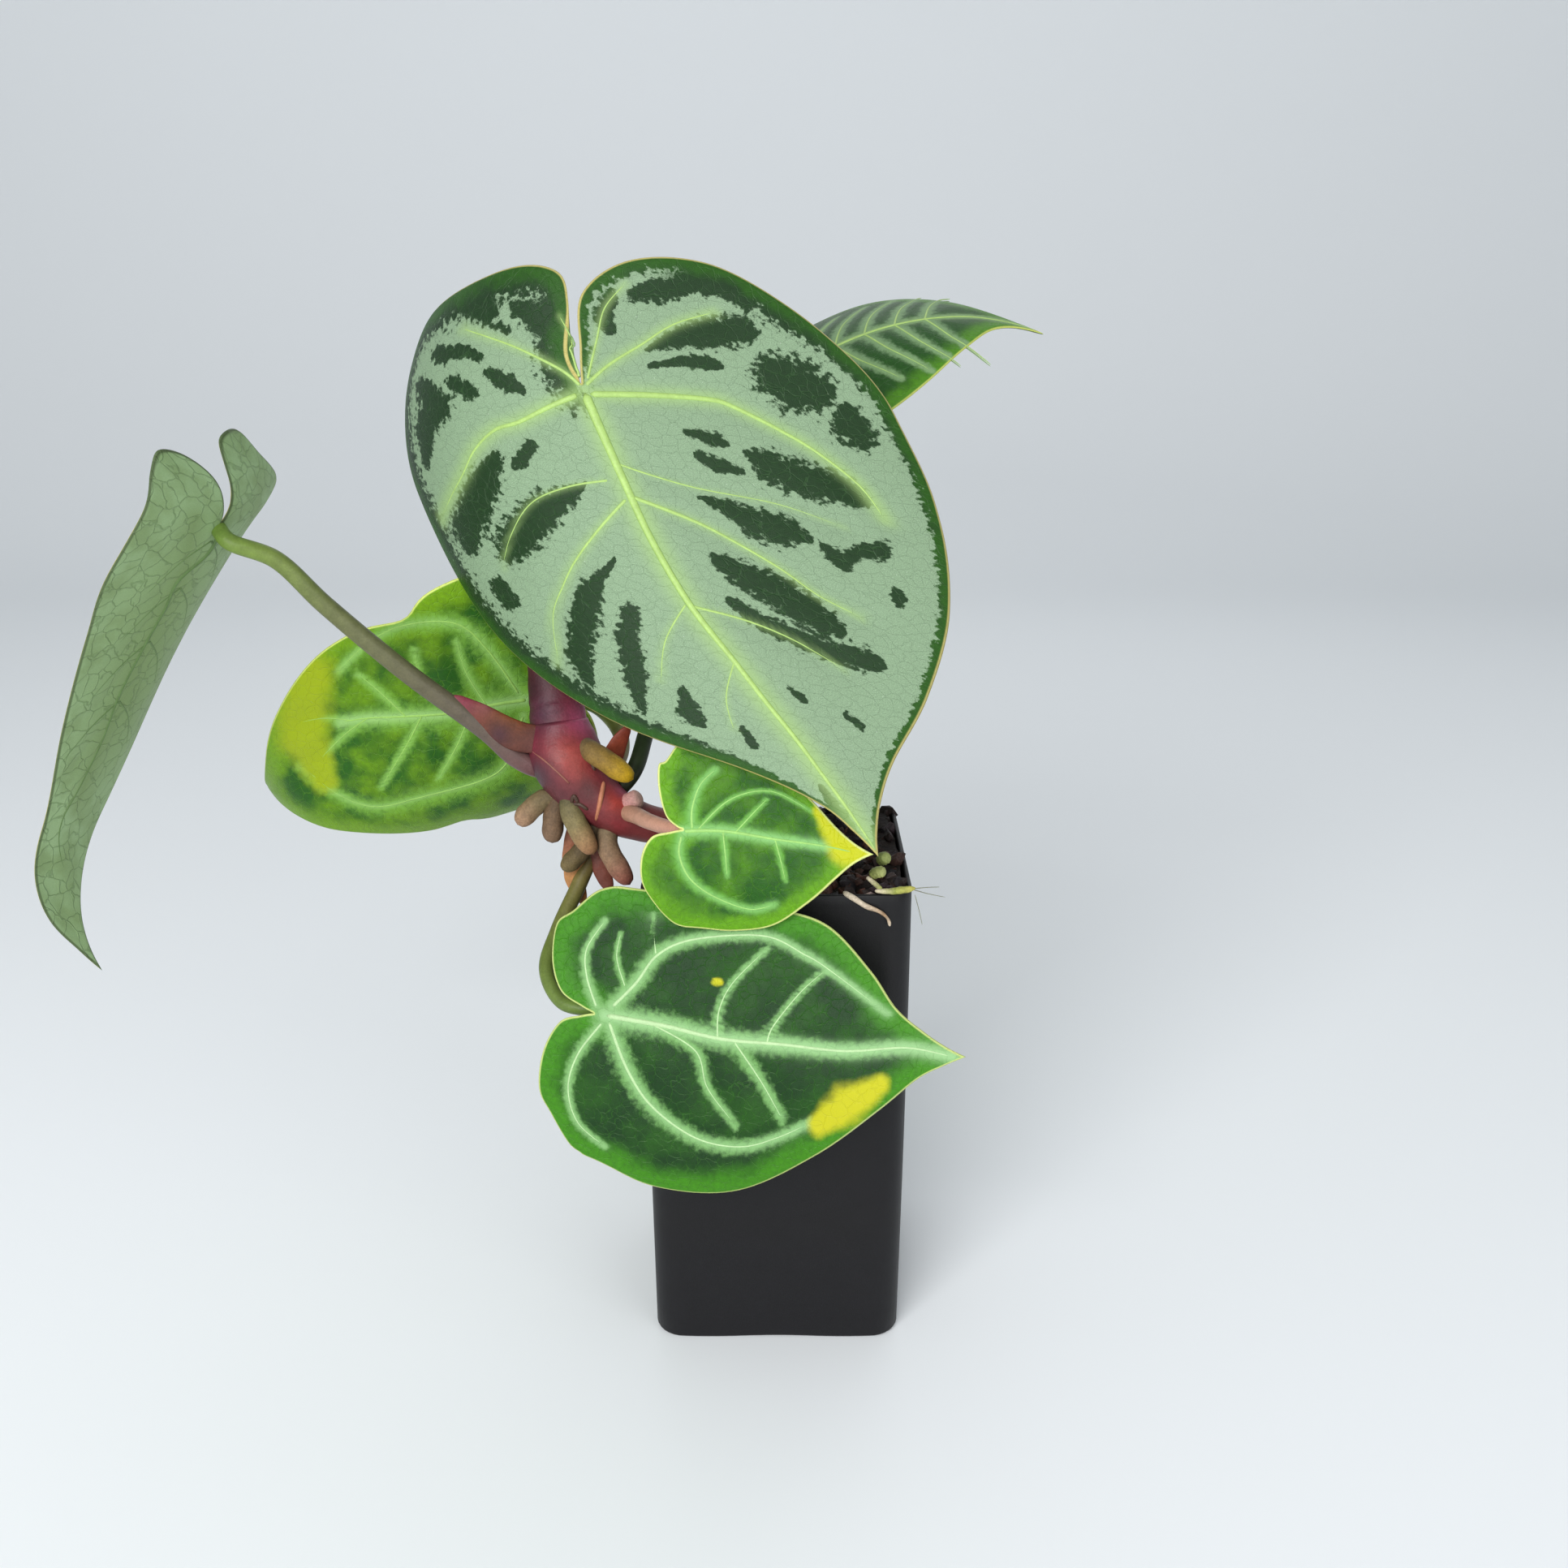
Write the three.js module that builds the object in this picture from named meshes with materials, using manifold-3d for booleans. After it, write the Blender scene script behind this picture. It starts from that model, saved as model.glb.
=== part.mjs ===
// Potted anthurium: a black square nursery pot of bark mix, a crown that leans out over the rim,
// and six heart-shaped leaves on slender petioles. Millimetres, +Z up, the pot's underside at z = 0.
import * as THREE from 'three';
import { LoftGeometry } from 'three/addons/geometries/LoftGeometry.js';
import { mergeGeometries, mergeVertices } from 'three/addons/utils/BufferGeometryUtils.js';
import Module from 'manifold-3d';

const wasm = await Module();
wasm.setup();

// Driving dimensions
const GAP = 0.3;
const POT = {
  height: 140, topWidth: 73, baseWidth: 71.2, cornerRadius: 8, wall: 1.2, base: 1.6, colour: 0x19161f,
};
const DRAIN = { radius: 4, fromAxis: 24, sides: 16 };
const SOIL = { level: 138.2, lump: 1.4, rings: [0.93, 0.8, 0.62, 0.44, 0.26, 0.06], colour: 0x2a1d14 };
const BLADE = { thickness: 0.9, hub: 0.1, steps: 21, rings: [0.86, 0.66, 0.44, 0.2, 0] };
const LIMB = { sides: 8, steps: 8, tipFrom: 0.72, tipReach: 0.3 };
const PETIOLE = { sides: 8, step: 9, approach: 5, facing: [0.37, -0.9, 0.23] };

// Crown and creeping stem, from the rooted end to the top: x, y, z, radius
const STEM = {
  colour: 0x8a3440,
  sides: 12,
  steps: 22,
  facing: [0.2, -1, 0.1],
  path: [
    [-4, 3, 112, 4.2], [-10, 2, 126, 4.8], [-20, 0, 138.5, 5.2], [-30, -3, 146.4, 5.2],
    [-38.5, -5, 149.6, 5.5], [-46, -6, 153.5, 6.6], [-54, -4, 160, 8.8], [-59, -2, 167.5, 10.3],
    [-60.5, 0, 173.5, 9.4], [-61.2, 1, 178.5, 8],
  ],
};

// Stubby aerial roots on the stem: where each is rooted, its middle and its tip
const NUB = { facing: [1, 0.3, 0.4], rootShare: 0.8 };
const NUBS = [
  { root: [-55, -3, 172], middle: [-50, -9.5, 171], tip: [-39.2, -13, 164.6], radius: 3.1 },
  { root: [-57.5, -4, 162], middle: [-57, -10.5, 154.5], tip: [-50.8, -14, 143], radius: 3.1 },
  { root: [-58, -4, 159], middle: [-66.5, -6, 155.8], tip: [-72.8, -7.6, 149.6], radius: 3 },
  { root: [-59, -3, 161], middle: [-62.3, -7, 152.8], tip: [-63, -9, 144.6], radius: 3 },
  { root: [-49, -5, 154], middle: [-54, -9, 143.6], tip: [-60.3, -10, 136.8], radius: 2.7 },
  { root: [-46, -5, 153], middle: [-47.4, -10, 144.5], tip: [-41, -14, 134], radius: 3 },
  { root: [-45, -5, 154], middle: [-41, -8.5, 156.5], tip: [-37.5, -9, 158.4], radius: 2.7 },
];

// Sheaths left round the crown, each a flattened strip with its face turned to the given direction:
// x, y, z, half width, half thickness
const SHEATHS = {
  sheath_upright: {
    colour: 0x7c2c44,
    facing: [0.1, -1, 0],
    path: [
      [-61.3, 1.1, 178.8, 7.9, 7.4], [-62, 2.4, 184, 7.4, 6.4],
      [-63.2, 3.2, 191, 6.4, 5], [-64.6, 3.4, 199, 4.6, 3.8],
    ],
  },
  sheath_wing: {
    colour: 0x8a5a34,
    facing: [0.15, -1, 0.3],
    path: [
      [-60, -4, 173, 3.4, 1], [-72, -7.3, 175.6, 4.2, 0.8],
      [-81, -9, 182.6, 2.6, 0.7], [-88, -9.6, 187.4, 0.9, 0.5],
    ],
  },
  cataphyll_low: {
    colour: 0x8c7038,
    facing: [0.1, -1, 0.1],
    path: [
      [-54, -4, 155, 3, 1.2], [-57.2, -5, 142, 3.4, 0.9],
      [-57.6, -5.4, 133, 3, 0.8], [-55.4, -5.8, 124.6, 1.2, 0.5],
    ],
  },
  cataphyll_side: {
    colour: 0x7a4a30,
    facing: [0.1, -1, 0.1],
    path: [
      [-48, -3, 152, 3, 1.2], [-49.4, -4, 142, 3.4, 0.9],
      [-49.6, -5, 135, 2.8, 0.8], [-47.6, -6, 128.6, 1.2, 0.5],
    ],
  },
  cataphyll_rear: {
    colour: 0x6c2f24,
    facing: [0.4, -1, 0],
    path: [
      [-49, -1, 161, 2.8, 1.2], [-46.4, -2.6, 167, 3.2, 0.9],
      [-43.6, -3, 173, 2.4, 0.8], [-41, -3, 177, 1, 0.5],
    ],
  },
};

// The leaves. base is the point where the petiole meets the blade. heading, pitch and roll turn the
// blade, and droop, fold, curl and sweep bend it, all in degrees. Pairs are [left, right], seen from
// above with the tip ahead.
const LEAVES = {
  front: {
    base: [-48.4, -13.3, 267.4], heading: -41, pitch: 64.4, roll: 36,
    length: 135.4, lobe: [38, 32], width: [74.8, 71.7],
    droop: -13, sweep: -32, fold: [2, -16], curl: [-7.7, -60.7], skew: -0.344, tipLift: -2.7, tipSide: 7.9,
    lobeShift: [0.5, -9], ripple: 0.5, waves: 7,
    shape: [
      { shoulder: -0.03, cheek: -0.02 },
      { shoulder: 0.06, belly: -0.02, cheek: 0.02, spread: -0.2, point: -0.03 },
    ],
    radius: [2.9, 2.2],
    route: [[-64.5, 3.4, 199.4], [-66.5, 1, 212], [-67, 0, 224], [-65.5, 0.5, 240], [-58, -1, 256]],
    colour: 0x7f9a7c,
  },
  back_right: {
    base: [8, 65.9, 271.5], heading: 0.3, pitch: -32.1, roll: 21.4,
    length: 72.8, lobe: [24, 24], width: [37.8, 37.6], droop: 46.9, sweep: 5.4,
    fold: [2.6, -0.4], curl: [-23.1, -35.7], skew: -0.05, tipLift: 1.1, tipSide: 10.5,
    lobeShift: [0, 0], ripple: 0.3, waves: 6,
    shape: [{ shoulder: 0.01, point: -0.01 }, { shoulder: -0.01, point: -0.01 }],
    radius: [2.5, 1.9],
    route: [
      [-47, -3, 156], [-40.7, 1, 162.5], [-37.7, 8, 171],
      [-31, 24, 198], [-15, 46, 232], [3, 62, 256],
    ],
    colour: 0x5f8a52,
  },
  left: {
    base: [-142.7, -19.5, 234.2], heading: 168.6, pitch: 48, roll: 15.7, length: 134.5, lobe: [23.4, 28],
    width: [29, 36.5], droop: 36.6, sweep: -13.2,
    fold: [-9.3, 7.8], curl: [6.4, 40.8], skew: 0, tipLift: -13.4,
    tipSide: 14.6, lobeShift: [-22.4, -18.5], ripple: 0.3, waves: 6,
    shape: [
      { shoulder: -0.22, belly: -0.06, cheek: 0.02, spread: -0.03, point: 0.12 },
      { shoulder: 0.08, cheek: -0.23, spread: -0.08, point: 0.04 },
    ],
    radius: [3.2, 2.1],
    route: [
      [-57, 0, 165], [-66, -3, 165], [-72.2, -5.4, 168.6], [-79.8, -7, 176.6],
      [-99.5, -12, 194.6], [-118.3, -16, 213.6], [-129, -19, 226],
    ],
    colour: 0x849f70,
  },
  back_left: {
    base: [-72.2, 22, 176.7], heading: 190, pitch: 13.2, roll: -86,
    length: 112.2, lobe: [17, 17], width: [45, 45],
    droop: 46, sweep: -17, fold: [-9.5, 19], curl: [-52, 0], skew: -0.06, tipLift: -14, tipSide: 7.4,
    lobeShift: [0, 0], ripple: 0.8, waves: 6,
    shape: [
      { shoulder: 0.02, belly: 0.01, spread: -0.1 },
      { shoulder: 0.01, belly: -0.06, cheek: -0.01, spread: -0.1, point: -0.04 },
    ],
    notches: [
      { side: 1, at: 18 / 42, depth: 0.07, width: 0.02 },
      { side: 0, at: 17 / 42, depth: 0.07, width: 0.02 },
    ],
    steps: 42,
    radius: [2.5, 1.9],
    route: [[-52, 2, 162], [-46.5, 14, 162], [-47, 26, 167], [-55, 34, 173], [-66, 33, 176]],
    colour: 0x7f9a1e,
  },
  centre: {
    base: [-23.6, -40, 159.6], heading: -8, pitch: -2, roll: 72,
    length: 49.1, lobe: [7, 12], width: [23.3, 26.2],
    droop: 0, sweep: 16, fold: [5, -1], curl: [-7, -18], skew: 0, tipLift: 1.9, tipSide: -1.3,
    lobeShift: [-0.8, -0.8], ripple: 0.3, waves: 5,
    shape: [
      { cheek: -0.05, spread: 0.13 },
      { shoulder: 0.11, belly: 0.01, cheek: -0.01, spread: 0.05, point: 0.03 },
    ],
    radius: [2.6, 1.5],
    route: [[-45, -5, 153], [-39.7, -12.5, 154.4], [-34, -22, 155.4], [-27.5, -31, 156.8]],
    colour: 0x4f8a1a,
  },
  low: {
    base: [-47.6, -43.3, 108.8], heading: -12, pitch: 6.5, roll: 74,
    length: 97.5, lobe: [15.5, 14.3], width: [35.6, 42.3],
    droop: 0, sweep: -9, fold: [0, -6], curl: [0, -12], skew: 0, tipLift: 0.7, tipSide: -0.8,
    lobeShift: [-0.9, -0.2], ripple: 0.4, waves: 6,
    shape: [
      { shoulder: 0.13, belly: -0.01, cheek: -0.08, spread: 0.03, point: 0.06, rise: 0.185 },
      { shoulder: 0.28, belly: 0.06, cheek: -0.05, spread: 0.04, point: 0.04, rise: -0.05 },
    ],
    radius: [2.4, 1.9],
    route: [
      [-50, -2, 151], [-51.5, -1, 143], [-56, -6, 132],
      [-61.5, -16, 121], [-63.5, -26, 113.5], [-58, -34, 107.5],
    ],
    colour: 0x2f6a26,
  },
};

const radians = THREE.MathUtils.degToRad;
const vector = (list) => new THREE.Vector3(list[0], list[1], list[2]);

// A copy with its shared vertices merged and its empty triangles left out
function weld(geometry) {
  const plain = new THREE.BufferGeometry().copy(geometry);
  plain.deleteAttribute('normal');
  plain.deleteAttribute('uv');
  const welded = mergeVertices(plain, 1e-4);
  const kept = [];
  for (let i = 0; i < welded.index.count; i += 3) {
    const [a, b, c] = [0, 1, 2].map((k) => welded.index.getX(i + k));
    if (a !== b && b !== c && c !== a) kept.push(a, b, c);
  }
  return welded.setIndex(kept);
}

// A closed geometry as a solid for cutting and joining, and back
function solid(geometry) {
  const welded = weld(geometry);
  const mesh = new wasm.Mesh({
    numProp: 3,
    vertProperties: Float32Array.from(welded.attributes.position.array),
    triVerts: Uint32Array.from(welded.index.array),
  });
  return new wasm.Manifold(mesh);
}

function geometryOf(body) {
  const mesh = body.getMesh();
  const geometry = new THREE.BufferGeometry();
  geometry.setAttribute('position', new THREE.BufferAttribute(Float32Array.from(mesh.vertProperties), 3));
  geometry.setIndex(new THREE.BufferAttribute(Uint32Array.from(mesh.triVerts), 1));
  return geometry;
}

// Pot: a square with rounded corners, counterclockwise seen from above
function roundedSquare(width, radius, z, segments = 5) {
  const straight = width / 2 - radius;
  const points = [];
  for (let corner = 0; corner < 4; corner++) {
    const centre = new THREE.Vector2(straight, straight)
      .rotateAround(new THREE.Vector2(), (corner * Math.PI) / 2);
    for (let i = 0; i <= segments; i++) {
      const angle = ((corner + i / segments) * Math.PI) / 2;
      const x = centre.x + radius * Math.cos(angle);
      const y = centre.y + radius * Math.sin(angle);
      points.push(new THREE.Vector3(x, y, z));
    }
  }
  return points;
}

function potWidth(z) {
  return THREE.MathUtils.mapLinear(z, 0, POT.height, POT.baseWidth, POT.topWidth);
}

// A ring inside the pot wall, inset from the outer face
function innerRing(z, inset) {
  return roundedSquare(potWidth(z) - 2 * inset, POT.cornerRadius - inset, z);
}

function pot() {
  const capped = { capStart: true, capEnd: true };
  const shell = solid(new LoftGeometry([innerRing(0, 0), innerRing(POT.height, 0)], capped));
  const overTop = POT.height + 1;
  const inside = [innerRing(POT.base, POT.wall), innerRing(overTop, POT.wall)];
  const hollow = solid(new LoftGeometry(inside, capped));
  const holes = [45, 135, 225, 315].map((angle) => {
    const hole = new THREE.CylinderGeometry(DRAIN.radius, DRAIN.radius, POT.base * 4, DRAIN.sides);
    hole.rotateX(Math.PI / 2);
    const reach = DRAIN.fromAxis * Math.SQRT2;
    hole.translate(reach * Math.cos(radians(angle)), reach * Math.sin(radians(angle)), 0);
    return solid(hole);
  });
  return holes.reduce((body, hole) => body.subtract(hole), shell.subtract(hollow));
}

// Soil: fills the pot, with a lumpy top where bark pieces lie
function soilHeight(x, y) {
  const wave = Math.sin(x * 0.31 + 1.3) * Math.cos(y * 0.27 - 0.6) + 0.6 * Math.sin(x * 0.13 - y * 0.43);
  return SOIL.level + SOIL.lump * wave;
}

function soil() {
  const inset = POT.wall + GAP;
  const edge = innerRing(SOIL.level, inset);
  const top = SOIL.rings.map((share) =>
    edge.map((p) => new THREE.Vector3(p.x * share, p.y * share, soilHeight(p.x * share, p.y * share))));
  const sections = [innerRing(POT.base + GAP, inset), edge, ...top];
  return solid(new LoftGeometry(sections, { capStart: true, capEnd: true }));
}

// A solid along a smooth path. Each path point is x, y, z, half width, half thickness; grow adds to both.
// facing is the direction that the thickness is measured in.
function limb(path, { sides = LIMB.sides, steps = LIMB.steps, facing, grow = 0, roundTip = false }) {
  const curve = new THREE.CatmullRomCurve3(path.map(vector), false, 'centripetal');
  const halves = path.map((p) => new THREE.Vector3(p[3], p[4] ?? p[3], 0));
  const sizes = new THREE.CatmullRomCurve3(halves, false, 'centripetal');
  const face = vector(facing).normalize();
  const sections = [];
  for (let i = 0; i <= steps; i++) {
    const t = i / steps;
    const centre = curve.getPoint(t);
    const ahead = curve.getTangent(t);
    const across = new THREE.Vector3().crossVectors(ahead, face).normalize();
    const thick = new THREE.Vector3().crossVectors(across, ahead).normalize();
    const size = sizes.getPoint(t);
    const inTip = roundTip ? Math.max((t - LIMB.tipFrom) / LIMB.tipReach, 0) : 0;
    const shrink = Math.sqrt(Math.max(1 - inTip ** 2, 0));
    const ring = [];
    for (let k = 0; k < sides; k++) {
      const angle = (-k / sides) * 2 * Math.PI;
      ring.push(centre.clone()
        .addScaledVector(across, Math.cos(angle) * (size.x * shrink + grow))
        .addScaledVector(thick, Math.sin(angle) * (size.y * shrink + grow)));
    }
    sections.push(ring);
  }
  return solid(new LoftGeometry(sections, { capStart: true, capEnd: true }));
}

// Stem with its aerial roots, grown by the given amount on every side
function stem(grow) {
  const crown = limb(STEM.path, { ...STEM, grow });
  return NUBS.reduce((body, nub) => {
    const shares = [NUB.rootShare, 1, 1];
    const path = [nub.root, nub.middle, nub.tip].map((p, i) => [...p, nub.radius * shares[i]]);
    return body.add(limb(path, { facing: NUB.facing, grow, roundTip: true }));
  }, crown);
}

// Half of a blade's outline from the tip round the lobe to the sinus: x in half widths, y in lengths
// ahead of the base and in lobe lengths behind it. The shape's named values move single stretches of it.
function halfOutline({ shoulder = 0, cheek = 0, spread = 0, point = 0, belly = 0, rise = 0 }, steps) {
  const points = [
    [0, 1], [0.04 + point * 0.4, 0.95], [0.11 + point, 0.885], [0.24 + point + shoulder * 0.3, 0.8],
    [0.5 + shoulder * 0.8, 0.66 + rise * 0.3], [0.78 + shoulder, 0.47 + rise * 0.6],
    [0.95 + shoulder * 0.4 + belly, 0.26 + rise * 0.9], [1, 0.06 + rise], [0.96 + cheek * 0.5, -0.3],
    [0.8 + cheek, -0.7], [0.55 + spread, -0.97], [0.28 + spread, -0.95], [0.09 + spread * 0.4, -0.7],
    [0.03, -0.3], [0, -0.06],
  ];
  return new THREE.SplineCurve(points.map((p) => new THREE.Vector2(p[0], p[1]))).getPoints(steps);
}

// The whole outline on the flat leaf, counterclockwise from the tip, in mm
function outline(leaf) {
  const steps = leaf.steps ?? BLADE.steps;
  const halves = [0, 1].map((side) => halfOutline(leaf.shape[side], steps).map((p, i) => {
    const notches = (leaf.notches ?? []).filter((notch) => notch.side === side);
    const bite = (n) => n.depth * Math.exp(-(((i / steps - n.at) / n.width) ** 2));
    const cut = notches.reduce((sum, n) => sum + bite(n), 0);
    const x = (side ? 1 : -1) * p.x * leaf.width[side];
    const y = p.y > 0 ? p.y * leaf.length : p.y * leaf.lobe[side];
    return new THREE.Vector2(x * (1 - cut), y * (1 - cut));
  }));
  return [...halves[0], ...halves[1].slice(1, -1).reverse()];
}

// The blade's own axes: ahead along the midrib, across to its right, and up out of its upper face
function bladeAxes(leaf) {
  const [h, p, r] = [leaf.heading, leaf.pitch, leaf.roll].map(radians);
  const ahead = new THREE.Vector3(Math.cos(h) * Math.cos(p), Math.sin(h) * Math.cos(p), -Math.sin(p));
  const level = new THREE.Vector3(Math.cos(h) * Math.sin(p), Math.sin(h) * Math.sin(p), Math.cos(p));
  const sideways = new THREE.Vector3().crossVectors(ahead, level);
  const up = level.multiplyScalar(Math.cos(r)).addScaledVector(sideways, Math.sin(r));
  return { ahead, up, across: new THREE.Vector3().crossVectors(ahead, up) };
}

// The point of the bent blade for a point of the flat leaf
function bladePoint(leaf, axes, flatX, flatY) {
  const side = flatX > 0 ? 1 : 0;
  const width = leaf.width[side];
  const y = flatY + leaf.skew * flatX;
  const bend = radians(leaf.droop) / leaf.length;
  const front = Math.max(y, 0);
  const bent = Math.abs(bend) > 1e-9;
  const along = (bent ? Math.sin(bend * front) / bend : front) + Math.min(y, 0);
  const down = bent ? (1 - Math.cos(bend * front)) / bend : 0;
  const fold = radians(leaf.fold[side]);
  const curl = radians(leaf.curl[side]) || 1e-6;
  const turned = fold + (curl * Math.abs(flatX)) / width;
  const tip = THREE.MathUtils.clamp((y / leaf.length - 0.7) / 0.3, 0, 1) ** 2;
  const behind = (Math.min(y, 0) / leaf.lobe[0]) ** 2;
  const across = (Math.sign(flatX) * (Math.sin(turned) - Math.sin(fold)) * width) / curl
    + (radians(leaf.sweep) * y * y) / (2 * leaf.length) + leaf.lobeShift[side] * behind + leaf.tipSide * tip;
  const reach = Math.hypot(flatX / width, y > 0 ? y / leaf.length : y / leaf.lobe[0]);
  const wave = leaf.ripple * Math.min(reach, 1.2) ** 3 * Math.sin(leaf.waves * Math.atan2(flatX, y));
  const lift = ((Math.cos(fold) - Math.cos(turned)) * width) / curl + leaf.tipLift * tip + wave;
  const angle = bend * front;
  return vector(leaf.base)
    .addScaledVector(axes.ahead, along + Math.sin(angle) * lift)
    .addScaledVector(axes.up, Math.cos(angle) * lift - down)
    .addScaledVector(axes.across, across);
}

// Blade: the outline drawn in ring by ring to a hub on the midrib, on an upper and a lower face
function blade(leaf, grow = 0) {
  const axes = bladeAxes(leaf);
  const edge = outline(leaf);
  const hub = new THREE.Vector2(0, BLADE.hub * leaf.length);
  const reach = 0.5;
  const face = (height) => [1, ...BLADE.rings].map((share) => edge.map((p) => {
    const x = hub.x + (p.x - hub.x) * share;
    const y = hub.y + (p.y - hub.y) * share;
    const ahead = bladePoint(leaf, axes, x, y + reach).sub(bladePoint(leaf, axes, x, y - reach));
    const across = bladePoint(leaf, axes, x + reach, y).sub(bladePoint(leaf, axes, x - reach, y));
    const normal = across.cross(ahead).normalize();
    return bladePoint(leaf, axes, x, y).addScaledVector(normal, height);
  }));
  const upper = face(BLADE.thickness / 2 + grow);
  const lower = face(-BLADE.thickness / 2 - grow);
  const top = weld(new LoftGeometry([lower[0], ...upper]));
  const under = weld(new LoftGeometry(lower));
  under.index.array.reverse();
  return solid(mergeGeometries([top, under]));
}

// Petiole: from inside the crown to the blade, meeting it square to its lower face
function petiole(leaf, grow = 0) {
  const { up } = bladeAxes(leaf);
  const end = vector(leaf.base);
  const approach = end.clone().addScaledVector(up, -PETIOLE.approach);
  const points = [...leaf.route, approach.toArray(), end.toArray()];
  const [thick, thin] = leaf.radius;
  const path = points.map((p, i) => [...p, THREE.MathUtils.lerp(thick, thin, i / (points.length - 1))]);
  const length = new THREE.CatmullRomCurve3(points.map(vector)).getLength();
  const steps = Math.round(length / PETIOLE.step) + points.length;
  return limb(path, { steps, sides: PETIOLE.sides, facing: PETIOLE.facing, grow });
}

const plant = new THREE.Group();

function addPiece(name, body, colour, roughness) {
  const material = new THREE.MeshStandardMaterial({ color: colour, roughness, metalness: 0 });
  const mesh = new THREE.Mesh(geometryOf(body), material);
  mesh.name = name;
  plant.add(mesh);
}

const ROUGHNESS = { plastic: 0.6, soil: 0.95, stalk: 0.5, leaf: 0.45 };
const clearOfStem = stem(GAP);

addPiece('pot', pot(), POT.colour, ROUGHNESS.plastic);
addPiece('soil', soil().subtract(clearOfStem), SOIL.colour, ROUGHNESS.soil);
addPiece('stem', stem(0), STEM.colour, ROUGHNESS.stalk);
const inTheWay = [clearOfStem, ...Object.values(LEAVES).map((leaf) => petiole(leaf, GAP))];
for (const [name, sheath] of Object.entries(SHEATHS)) {
  const strip = (grow) => limb(sheath.path, { facing: sheath.facing, grow });
  const trimmed = inTheWay.reduce((body, other) => body.subtract(other), strip(0));
  addPiece(name, trimmed, sheath.colour, ROUGHNESS.stalk);
  inTheWay.push(strip(GAP));
}
for (const [name, leaf] of Object.entries(LEAVES)) {
  const stalk = petiole(leaf).subtract(clearOfStem).subtract(blade(leaf, GAP));
  addPiece(`petiole_${name}`, stalk, leaf.colour, ROUGHNESS.stalk);
  addPiece(`leaf_${name}`, blade(leaf), leaf.colour, ROUGHNESS.leaf);
}

export default plant;
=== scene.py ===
"""Looks of a potted anthurium: silver-patterned heart leaves over a tall square nursery pot of bark.

Sizes are real sizes in millimetres and become metres where a mesh is made. Places read off the photo are
pixels of its 1932 by 1932 frame, and the photo's camera turns them into places on the plant.
"""

import logging
import math
from collections.abc import Sequence
from dataclasses import dataclass
from enum import Enum
from functools import cache

import bmesh
import bpy
import numpy as np
from mathutils import Euler, Matrix, Vector
from mathutils.bvhtree import BVHTree


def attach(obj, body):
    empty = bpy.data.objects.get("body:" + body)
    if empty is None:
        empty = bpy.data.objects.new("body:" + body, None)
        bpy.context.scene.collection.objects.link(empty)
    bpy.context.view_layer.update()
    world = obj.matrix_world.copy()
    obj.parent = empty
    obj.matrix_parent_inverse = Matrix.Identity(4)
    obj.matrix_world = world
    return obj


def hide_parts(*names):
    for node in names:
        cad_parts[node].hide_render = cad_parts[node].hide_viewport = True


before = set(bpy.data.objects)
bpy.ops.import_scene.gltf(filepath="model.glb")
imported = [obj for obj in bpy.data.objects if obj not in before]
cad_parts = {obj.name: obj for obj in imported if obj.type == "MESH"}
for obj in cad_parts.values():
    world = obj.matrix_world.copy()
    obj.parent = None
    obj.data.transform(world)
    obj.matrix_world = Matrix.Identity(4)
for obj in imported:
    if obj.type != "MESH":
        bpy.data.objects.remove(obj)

MM = 0.001
FAR = 1e9
TINY = 1e-9
OUTSIDE = -3.0
Colour = tuple[int, int, int]
Point = tuple[float, ...]
log = logging.getLogger("anthurium")


class Space(Enum):
    """Where a traced line's points are given."""

    PHOTO = "pixels of the photo"
    FLAT = "half widths and lengths of the flattened leaf"


class Face(Enum):
    """The two faces of a leaf."""

    UPPER = 1
    LOWER = -1


@dataclass(frozen=True)
class PhotoCamera:
    """The place and lens that the photo was taken with."""

    place: Point = (2.1, -396.7, 285.4)
    tilt: float = 17.65
    lens: float = 33.68
    sensor: float = 36.0
    pixels: float = 1932.0
    nearest: float = 0.01
    farthest: float = 20.0

    def axes(self) -> tuple[np.ndarray, np.ndarray, np.ndarray]:
        """The camera's right, up and forward directions.

        Returns:
            Three unit vectors.
        """
        tilt = math.radians(self.tilt)
        up = np.array([0.0, math.sin(tilt), math.cos(tilt)])
        forward = np.array([0.0, math.cos(tilt), -math.sin(tilt)])
        return np.array([1.0, 0.0, 0.0]), up, forward

    def project(self, points: np.ndarray) -> np.ndarray:
        """Pixels that points of the plant are seen at.

        Args:
            points: rows of x, y, z in millimetres.

        Returns:
            Rows of pixel column and row.
        """
        right, up, forward = self.axes()
        away = points - np.array(self.place)
        scale = self.lens / self.sensor * self.pixels / (away @ forward)
        centre = self.pixels / 2
        return np.stack([centre + scale * (away @ right), centre - scale * (away @ up)], axis=1)

    def ray(self, pixel: Point) -> tuple[np.ndarray, np.ndarray]:
        """The line of sight through a pixel.

        Args:
            pixel: column and row.

        Returns:
            The camera's place in millimetres and the unit direction.
        """
        right, up, forward = self.axes()
        focal = self.lens / self.sensor * self.pixels
        centre = self.pixels / 2
        direction = forward + right * (pixel[0] - centre) / focal - up * (pixel[1] - centre) / focal
        return np.array(self.place), direction / np.linalg.norm(direction)

    def build(self) -> bpy.types.Object:
        """Makes the scene's camera.

        Returns:
            The camera object.
        """
        data = bpy.data.cameras.new("camera")
        data.lens = self.lens
        data.sensor_width = self.sensor
        data.clip_start = self.nearest
        data.clip_end = self.farthest
        camera = bpy.data.objects.new("camera", data)
        camera.location = Vector(self.place) * MM
        camera.rotation_euler = (math.radians(90 - self.tilt), 0, 0)
        bpy.context.scene.collection.objects.link(camera)
        bpy.context.scene.camera = camera
        return camera


PHOTO = PhotoCamera()


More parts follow.
